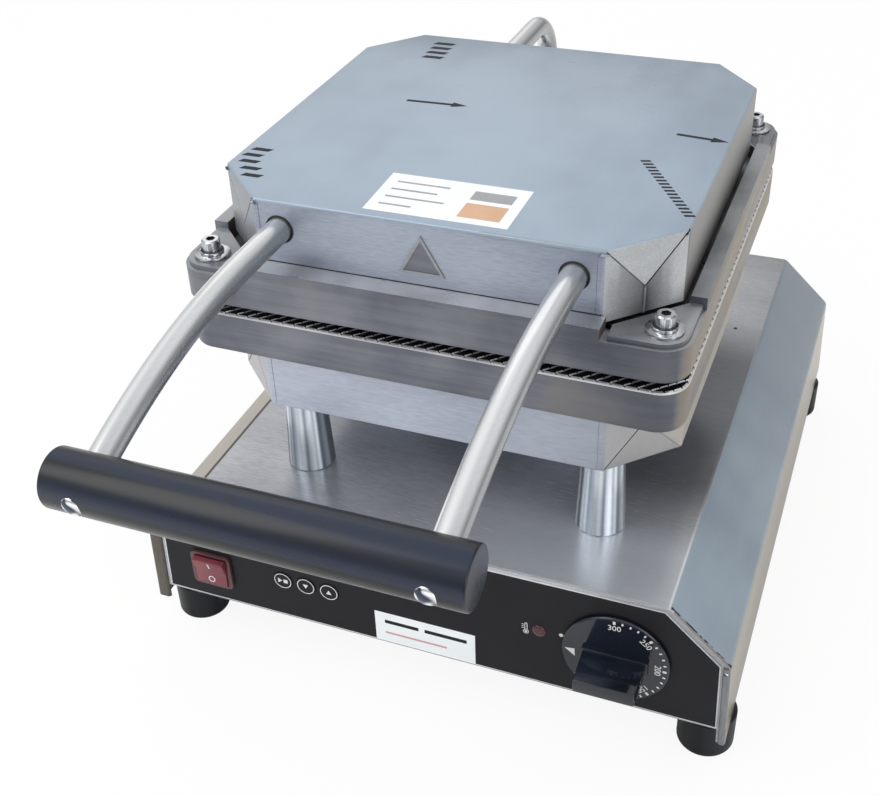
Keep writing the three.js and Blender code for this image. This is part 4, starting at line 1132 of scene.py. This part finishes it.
def handle():
    grip = (GRIP_LOW + GRIP_HIGH) / 2
    grip_radius = (GRIP_HIGH.z - GRIP_LOW.z) / 2
    bend_y = HOOD_LOW.y - HANDLE_STRAIGHT
    bend_radius = (bend_y - grip.y) / math.sin(math.radians(HANDLE_TURN))
    seat, domed = grip_radius - 0.0016, (0.006, 0.0025)
    lean = Vector((0, -math.cos(SCREW_LEAN), -math.sin(SCREW_LEAN)))
    for name, _ in SIDES:
        node = f"handle_tube_{name}"
        low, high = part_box(node)
        x = (low.x + high.x) / 2
        tube = bent_bar(f"bent_tube_{name}", TUBE_RADIUS, (x, high.y, TUBE_Z),
                        Vector((0, bend_y - high.y, 0)), HANDLE_TURN,
                        (x, bend_y, TUBE_Z - bend_radius), 24)
        carried(tube, "lid", TUBE_STEEL, node=node)
        # A dark ring of painted shade in the gap round the tube, where it passes into the hood.
        ring = added(bpy.ops.mesh.primitive_torus_add, f"hole_edge_{name}",
                     major_radius=TUBE_RADIUS + 0.0007, minor_radius=0.0005,
                     major_segments=56, minor_segments=10)
        settle(ring, facing(ALONG, (x, HOOD_LOW.y, TUBE_Z)))
        carried(shade(ring), "lid", PAINTED_SHADE)
        # Domed screw head, set in the grip's lower front
        profile = [(0.0058, seat - 0.001), *dome(*domed, seat)]
        round_part(f"grip_screw_{name}", "lid", CHROME, profile, lean, (x, grip.y, grip.z), 40, 60,
                   f"handle_screw_{name}")
    profile = mirrored(round_edge(grip_radius, 0.0012, -GRIP_HIGH.x, 4))
    round_part("grip_bar", "lid", GRIP_BLACK, profile, ACROSS, (0, grip.y, grip.z), 96, 40,
               "handle_grip")


def conduit():
    low, high, bend = CONDUIT_LOW, CONDUIT_HIGH, CONDUIT_BEND
    bend_y = high.y - CONDUIT_RADIUS - bend
    leg = CONDUIT_Z - bend - low.z
    tube = bent_bar("conduit_bend", CONDUIT_RADIUS, (CONDUIT_X, low.y, CONDUIT_Z),
                    Vector((0, bend_y - low.y, 0)), -90, (CONDUIT_X, bend_y, CONDUIT_Z - bend),
                    20, (0, 0, -leg))
    carried(tube, "lid", TUBE_STEEL, node="conduit_tube")
    low, high, radius, origin = round_node("conduit_bushing")
    lip = 0.002
    profile = [(CONDUIT_RADIUS - lip, low.z), (radius - lip, low.z), (radius, low.z + lip),
               (radius, high.z - 0.0015), (radius - 0.0012, high.z),
               (CONDUIT_RADIUS + 0.0002, high.z)]
    round_part("wire_bushing", "lid", RUBBER, profile, UP, origin, angle=35, node="conduit_bushing")


# Base: housing, panel and what sits on it

SHOULDER = BASE_HIGH.z - 0.0332
TOP_HALF = 0.149
FILM_START = BASE_LOW.y + 0.0022
SPLAY = 0.0025
PANEL_RIM = 0.0007


def base_housing():
    piece = from_node("base_housing", "base_cover")

    def fold(a, b):
        """Whether an edge is one of the long folds above or below a slanted side."""
        top = abs(a.z - BASE_HIGH.z) < 0.0002
        foot = abs(abs(a.x) - BASE_HIGH.x + SPLAY) < 0.0002
        return abs(a.y - b.y) > 0.3 and min(a.z, b.z) > SHOULDER - 0.0005 and (top or foot)

    with editing(piece, "EDGE", fold):
        bpy.ops.mesh.bevel(offset=0.0022, segments=5)
    soften(piece, 0.0006, 3, angle=25)
    with editing(piece):
        pick_all()
        bpy.ops.mesh.bisect(plane_co=(0, FILM_START, 0), plane_no=ALONG, threshold=1e-7)

    def part(spot, normal):
        slanted = 0.3 < abs(normal.x) < 0.95 and normal.z > 0.2 and spot.z > SHOULDER - 0.002
        # The crease of the left top fold takes the dark hem steel: a line of painted shade.
        if spot.z > BASE_HIGH.z - 0.003 and -0.5 < normal.x < -0.15:
            return HEM_STEEL
        if slanted and spot.y > FILM_START:
            return SLANT_FILM if normal.x > 0 else SLANT_STEEL
        # The front strip above the panel takes the lighter edge steel: bare steel with a painted
        # highlight along its fold.
        if spot.y < FILM_START and spot.z > PANEL_HIGH.z - 0.001:
            return EDGE_STEEL
        # Faces under the panel, between the sides, are painted shade.
        under = spot.z < PANEL_LOW.z - 0.002 and abs(spot.x) < BASE_HIGH.x - 0.008
        return PAINTED_SHADE if under else SHEET_STEEL

    carried(piece, "base", SHEET_STEEL, SLANT_FILM, SLANT_STEEL, EDGE_STEEL, PAINTED_SHADE, HEM_STEEL,
            node="base_housing", part=part)
    # A small dark dome stands for a small hole in the top; its colour is painted shade.
    profile = [(0.0016, 0), *dome(0.0016, 0.0004, 0.0001, 3)]
    spot = (0.130, 0.1696, BASE_HIGH.z - 0.0003)
    round_part("top_rivet", "base", PAINTED_SHADE, profile, UP, spot, 20, 40)


def hem_bars():
    """The rounded folds at the front ends of the sides, wider on the left, leaning with them."""
    # The left hem takes the darker hem steel as painted shade.
    folds = (("left", LEFT, 0.0088, HEM_STEEL, 0.0019), ("right", RIGHT, 0.0040, HEM_GREY, 0.0014))
    front = BASE_LOW.y - 0.0016
    for name, side, width, finish, rounding in folds:
        outer = side * (BASE_HIGH.x - 0.0002)
        bar = block(f"hem_{name}", (outer - side * width, front, BASE_LOW.z + 0.0002),
                    (outer, BASE_LOW.y + 0.0004, SHOULDER))
        with editing(bar, "FACE", lambda spot, normal: normal.z > 0.9):
            bpy.ops.transform.translate(value=(-side * SPLAY, 0, 0))
        with editing(bar, "EDGE", lambda a, b: abs(a.z - b.z) > 0.01 and a.y < BASE_LOW.y):
            bpy.ops.mesh.bevel(offset=rounding, segments=6)
        carried(soften(bar, 0.0003, 2, angle=50), "base", finish)
    spot = Vector((BASE_HIGH.x - SPLAY - 0.0022, front, SHOULDER - 0.0030))
    half = Vector((0.0013, 0.0003, 0.0012))
    carried(soften(block("hem_glint", spot - half, spot + half), 0.0003, 2), "base", CHROME)


def film_fringe():
    """A dark crumpled strip of painted shadow under the film's lifted edge along the front of the
    right slant, and the film's folded lip.
    """
    top = Vector((TOP_HALF, FILM_START, BASE_HIGH.z))
    foot = Vector((BASE_HIGH.x - SPLAY, FILM_START, SHOULDER))
    run = (foot - top).normalized()
    turn = Matrix((run, ALONG, ALONG.cross(run))).transposed().to_4x4()
    strips = (("film_fringe", -0.0006, 0.0006, PAINTED_SHADE), ("film_lip", 0.0008, 0.0016, SLANT_FILM))
    for seed, (name, near, far, finish) in enumerate(strips, 4):
        strip = block(name, (0, near, 0), ((foot - top).length, far, 0.0005))
        with editing(strip, "EDGE", lambda a, b: abs(a.x - b.x) > 0.01):
            bpy.ops.mesh.subdivide(number_cuts=26)
            pick_all()
            bpy.ops.transform.vertex_random(offset=0.0002, uniform=0.2, seed=seed)
            bpy.ops.mesh.quads_convert_to_tris()
        settle(strip, Matrix.Translation(top) @ turn)
        carried(shade(strip, 40), "base", finish)


def front_panel():
    piece = from_node("front_panel", "control_panel")
    with editing(piece, "FACE", in_front):
        bpy.ops.mesh.inset(thickness=PANEL_RIM, use_boundary=True)
    openings = -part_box("switch_housing")[0].x + 0.001
    carried(piece, "base", PANEL_BLACK, EDGE_STEEL, node="front_panel")
    # The panel's narrow rim takes the lighter edge steel: bare steel with a painted highlight; the
    # rest is black.
    for face in piece.data.polygons:
        spot = face.center
        slim = face.area < (PANEL_HIGH.x - PANEL_LOW.x) * PANEL_RIM * 1.1
        edge = min(spot.z - PANEL_LOW.z, PANEL_HIGH.z - spot.z) < PANEL_RIM
        face.material_index = int(slim and (edge or abs(spot.x) > openings))
    low = Vector((-0.0285, PANEL_LOW.y - 0.0001, PANEL_LOW.z + 0.0003))
    high = Vector((0.0363, PANEL_LOW.y, PANEL_LOW.z + 0.0244))
    label = block("panel_label", low, high)
    carried(soften(label, 0.00003, 1), "base", LABEL_PAPER)

    def bar(name, left, right, rise, width):
        row = low.z + rise
        return block(name, (left, low.y - PRINT_THICKNESS, row), (right, low.y, row + width))

    bars = [bar("label_bar", 0.004, 0.031, 0.0156, 0.0027),
            bar("label_bar", -0.022, 0.0, 0.0156, 0.0027)]
    carried(joined("panel_label_bars", *bars), "base", PRINT_DARK)
    carried(bar("panel_label_line", -0.022, 0.018, 0.0070, 0.0014), "base", PRINT_ROSE)


def keys():
    wide, tall = 0.0018, 0.0016
    play = [(-0.0032, -0.0019), (-0.0003, 0), (-0.0032, 0.0019)]
    stop = [(0.0006, -0.0014), (0.0034, -0.0014), (0.0034, 0.0014), (0.0006, 0.0014)]
    signs = {
        "start": [play, stop],
        "down": [[(0, -tall), (wide, tall), (-wide, tall)]],
        "up": [[(-wide, -tall), (wide, -tall), (0, tall)]],
    }
    for name, shapes in signs.items():
        node, body = f"key_{name}", f"{name}_key"
        low, high, flange, origin = round_node(node, ALONG)
        radius, collar, slope = flange - 0.0008, high.y - 0.0012, 0.0003
        profile = [(flange, -high.y), (flange, -collar), (radius, -collar),
                   (radius, -low.y - 0.0002), (radius - slope, -low.y)]
        round_part(f"{node}_cap", body, PANEL_BLACK, profile, -ALONG, origin, 48, 25, node)
        marks = [ring_mark("ring", radius - 0.0007, 0.0005)]
        marks += [flat_mark("glyph", shape) for shape in shapes]
        mark = stood(joined(f"{node}_mark", *marks), origin.x, low.y, origin.z)
        carried(mark, body, PRINT_WHITE)


def switch():
    low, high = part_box("switch_housing")

    def outer(a, b):
        """Whether an edge is one of the frame's four outer corners."""
        across = [min(abs(end.x - low.x), abs(end.x - high.x)) for end in (a, b)]
        upright = [min(abs(end.z - low.z), abs(end.z - high.z)) for end in (a, b)]
        return max(across + upright) < 0.0001 and abs(a.y - b.y) > 0.001

    frame_piece = from_node("switch_housing", "switch_frame")
    with editing(frame_piece, "EDGE", outer):
        bpy.ops.mesh.bevel(offset=0.0035, segments=6)
    carried(soften(frame_piece, 0.0007, 3), "base", FRAME_RED, node="switch_housing")
    rocker = soften(from_node("switch_rocker", "rocker_cap"), 0.0004, 3)
    carried(rocker, "rocker", ROCKER_RED, node="switch_rocker")
    low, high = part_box("switch_rocker")
    middle = (low + high) / 2
    # The upper half stands out and the lower half is pressed in; each mark lies on its slope.
    upper = box_mark("on_mark", -0.0005, -0.0026, 0.0005, 0.0026)
    lower = ring_mark("off_mark", 0.0024, 0.0007)
    for mark, rise in ((upper, 0.0060), (lower, -0.0060)):
        start = Vector((middle.x, low.y - 0.01, middle.z + rise))
        _, seat, normal, _ = rocker.ray_cast(start, ALONG)
        settle(mark, facing(normal, seat - normal * MARK * 0.3))
        carried(mark, "rocker", PRINT_WHITE)


def lamp():
    low, high, radius, origin = round_node("indicator_lamp", ALONG)
    face, edge = -PANEL_LOW.y, radius - 0.0006
    profile = [(edge, -high.y), (edge, face), (radius, face),
               *dome(radius, -low.y - face - 0.0001, face)]
    round_part("lamp_lens", "base", LAMP_RED, profile, -ALONG, origin, 48, 50, "indicator_lamp")


def panel_marks():
    """The thermometer sign beside the lamp and the dot beside the dial."""
    inner, outer, foot, top = 0.0005, 0.0009, 0.0016, 0.0062
    parts = [
        ring_mark("bulb", 0.0017, 0.0004),
        ring_mark("bead", 0.0008, 0.0006),
        flat_mark("stem", [(-outer, foot), (-inner, foot), (-inner, top), (-outer, top)]),
        box_mark("stem", inner, foot, outer, top),
        flat_mark("stem", [(-outer, top), (outer, top), (inner, 0.0068), (-inner, 0.0068)]),
        *[box_mark("rung", -0.0026, z, -0.0014, z + 0.0004) for z in (0.0022, 0.0036, 0.0050)],
    ]
    y, lamp_z = PANEL_LOW.y, centre_of("indicator_lamp").z
    sign = stood(joined("thermometer_sign", *parts), 0.0678, y, lamp_z - 0.0027)
    carried(sign, "base", PRINT_WHITE)
    spot = (DIAL_X - 0.0322, y, DIAL_Z + 0.0059)
    dot = turned("index_dot", [(0.0013, 0), (0.0012, MARK)], -ALONG, spot, facets=24)
    carried(dot, "base", PRINT_WHITE)


def display():
    low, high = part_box("timer_display")
    rim, sunk = 0.0016, 0.0002
    piece = block("display_window", low, high)
    with editing(piece, "FACE", in_front):
        bpy.ops.mesh.inset(thickness=rim)
        bpy.ops.transform.translate(value=(0, sunk, 0))
    carried(soften(piece, 0.00015, 2), "base", DIAL_BLACK, node="timer_display")
    middle = (low + high) / 2
    digits = stood(lettered("display_figures", "0:00", 0.014), middle.x, low.y + sunk, middle.z)
    carried(digits, "base", FRAME_RED)


DIAL_THICKNESS = 0.0021
BAR_REACH = 0.0184
BAR_HALF = 0.00445
BAR_TAPER = 0.0012
SCALE_TOP = 300
SCALE_TOP_TURN = 93.3
SCALE_STEP = 9.3
SCALE_TICKS = 26


def dial():
    low, high, radius, origin = round_node("thermostat_knob", ALONG)
    face = high.y - DIAL_THICKNESS
    edge = 0.0003
    profile = [(radius - edge, -high.y), (radius, -high.y + edge), (radius, -face - 0.0010),
               (radius - edge, -face - 0.0004), (radius - 0.0009, -face)]
    skirt = shade(turned("dial_skirt", profile, -ALONG, origin, facets=96))
    root = face + 0.0005
    collar = block(
        "dial_collar",
        (DIAL_X - BAR_REACH - 0.0007, face - 0.0027, DIAL_Z - BAR_HALF - 0.0008),
        (DIAL_X + BAR_REACH + 0.0007, root, DIAL_Z + BAR_HALF + 0.0008),
    )
    soften(collar, 0.0004, 2)
    bar = block("dial_bar", (DIAL_X - BAR_REACH, low.y, DIAL_Z - BAR_HALF),
                (DIAL_X + BAR_REACH, root, DIAL_Z + BAR_HALF))
    with editing(bar, "FACE", in_front):
        narrow = 1 - BAR_TAPER / BAR_REACH
        bpy.ops.transform.resize(value=(narrow, 1, 1), center_override=(DIAL_X, low.y, DIAL_Z))
    with editing(bar, "EDGE", lambda a, b: min(a.y, b.y) < face - 0.002):
        bpy.ops.mesh.bevel(offset=0.0006, segments=3)
    knob = joined("dial_knob", skirt, collar, shade(bar, 40))
    carried(knob, "dial", DIAL_BLACK, node="thermostat_knob")

    marks, reach = [], radius - 0.0018
    for step in range(SCALE_TICKS):
        turn = rotation(SCALE_TOP_TURN - step * SCALE_STEP)
        bold = step % 5 == 0
        half, length = (0.00075, 0.0022) if bold else (0.0005, 0.0016)
        tick = block("tick", (reach - length, -half, 0), (reach, half, MARK))
        marks.append(settle(tick, turn))
        if bold:
            number = lettered("figure", str(SCALE_TOP - step * 10), 0.0052)
            spot = turn @ Matrix.Translation((reach - 0.0052, 0, MARK / 2))
            marks.append(settle(number, spot @ rotation(-90)))
    marks.append(flat_mark("pointer", [(-0.0291, 0.0002), (-0.0231, -0.0047), (-0.0234, 0.0010)]))
    scale = stood(joined("dial_scale", *marks), DIAL_X, face, DIAL_Z)
    carried(scale, "dial", PRINT_WHITE)


# Hinge, rear of the base and what is inside

def hinge():
    for side, _ in SIDES:
        for level, body in (("lower", "base"), ("upper", "lid")):
            node = f"hinge_lug_{level}_{side}"
            lug = soften(from_node(node, f"{node}_piece"), 0.0006, 3)
            carried(lug, body, PLATE_IRON, node=node)
    _, high, _, origin = round_node("hinge_pin", ACROSS)
    radius, head, thick, edge, half = 0.005, 0.0075, 0.004, 0.0008, high.x
    profile = mirrored([(head - edge, -half), (head, -half + edge), (head, -half + thick),
                        (radius, -half + thick)])
    round_part("hinge_pin_piece", "base", BRIGHT_STEEL, profile, ACROSS, origin, node="hinge_pin")


def rear():
    cover = soften(from_node("rear_panel", "rear_cover"), 0.0003, 2)
    carried(cover, "base", SHEET_STEEL, node="rear_panel")
    low, high, radius, origin = round_node("cable_gland", ALONG)
    wall = BASE_HIGH.y
    seat = wall + 0.005
    nut = turned("gland_nut", [(radius, wall), (radius, seat)], ALONG, origin, facets=6)
    soften(nut, 0.0005, 2)
    neck, body, bore = 0.0082, 0.0098, 0.0045
    profile = [(neck, low.y), (neck, seat), (body, seat), (body, high.y - 0.004),
               (0.0085, high.y - 0.0012), (0.0065, high.y)]
    cap = turned("gland_cap", profile, ALONG, origin)
    profile = [(bore, high.y - 0.012), (bore, high.y + 0.001)]
    cut(cap, turned("bore", profile, ALONG, origin))
    carried(joined("gland", shade(cap, 35), nut), "base", RUBBER, node="cable_gland")
    z, inset = BASE_LOW.z + 0.0267, 0.020
    slot, reach = 0.0004, 0.004
    for name, x in (("left", BASE_LOW.x + inset), ("right", BASE_HIGH.x - inset)):
        profile = [(0.0032, wall - 0.0005), *dome(0.0034, 0.0014, wall, 4)]
        head = turned(f"rear_screw_{name}", profile, ALONG, (x, 0, z), facets=32)
        cut(head, block("slot", (x - slot, wall + 0.0006, z - reach),
                        (x + slot, wall + 0.003, z + reach)))
        carried(shade(head, 35), "base", BRIGHT_STEEL)


KEPT = (
    (ZINC, "bottom_plate", "lower_heater", "upper_heater", "thermostat_body"),
    (WOOL, "lower_insulation", "upper_insulation"),
    (BRASS, "thermostat_bulb", "thermostat_shaft"),
    (BOARD_GREEN, "timer_board"),
    (GREY_PLASTIC, "contactor", "terminal_block"),
)


def inside():
    """Solids whose shape is right keep it, and get their finish."""
    for finish, *nodes in KEPT:
        for data in [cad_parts[node].data for node in nodes]:
            data.materials.clear()
            data.materials.append(finish)


for make in (
    studio, hood, hood_gap, film_edge, hood_prints, badge, lower_plate, upper_plate, lower_casing,
    cap_screws, washers, lower_bolts, standoffs, feet, handle, conduit, base_housing, hem_bars,
    film_fringe, front_panel, keys, switch, lamp, panel_marks, display, dial, hinge, rear, inside,
):
    make()
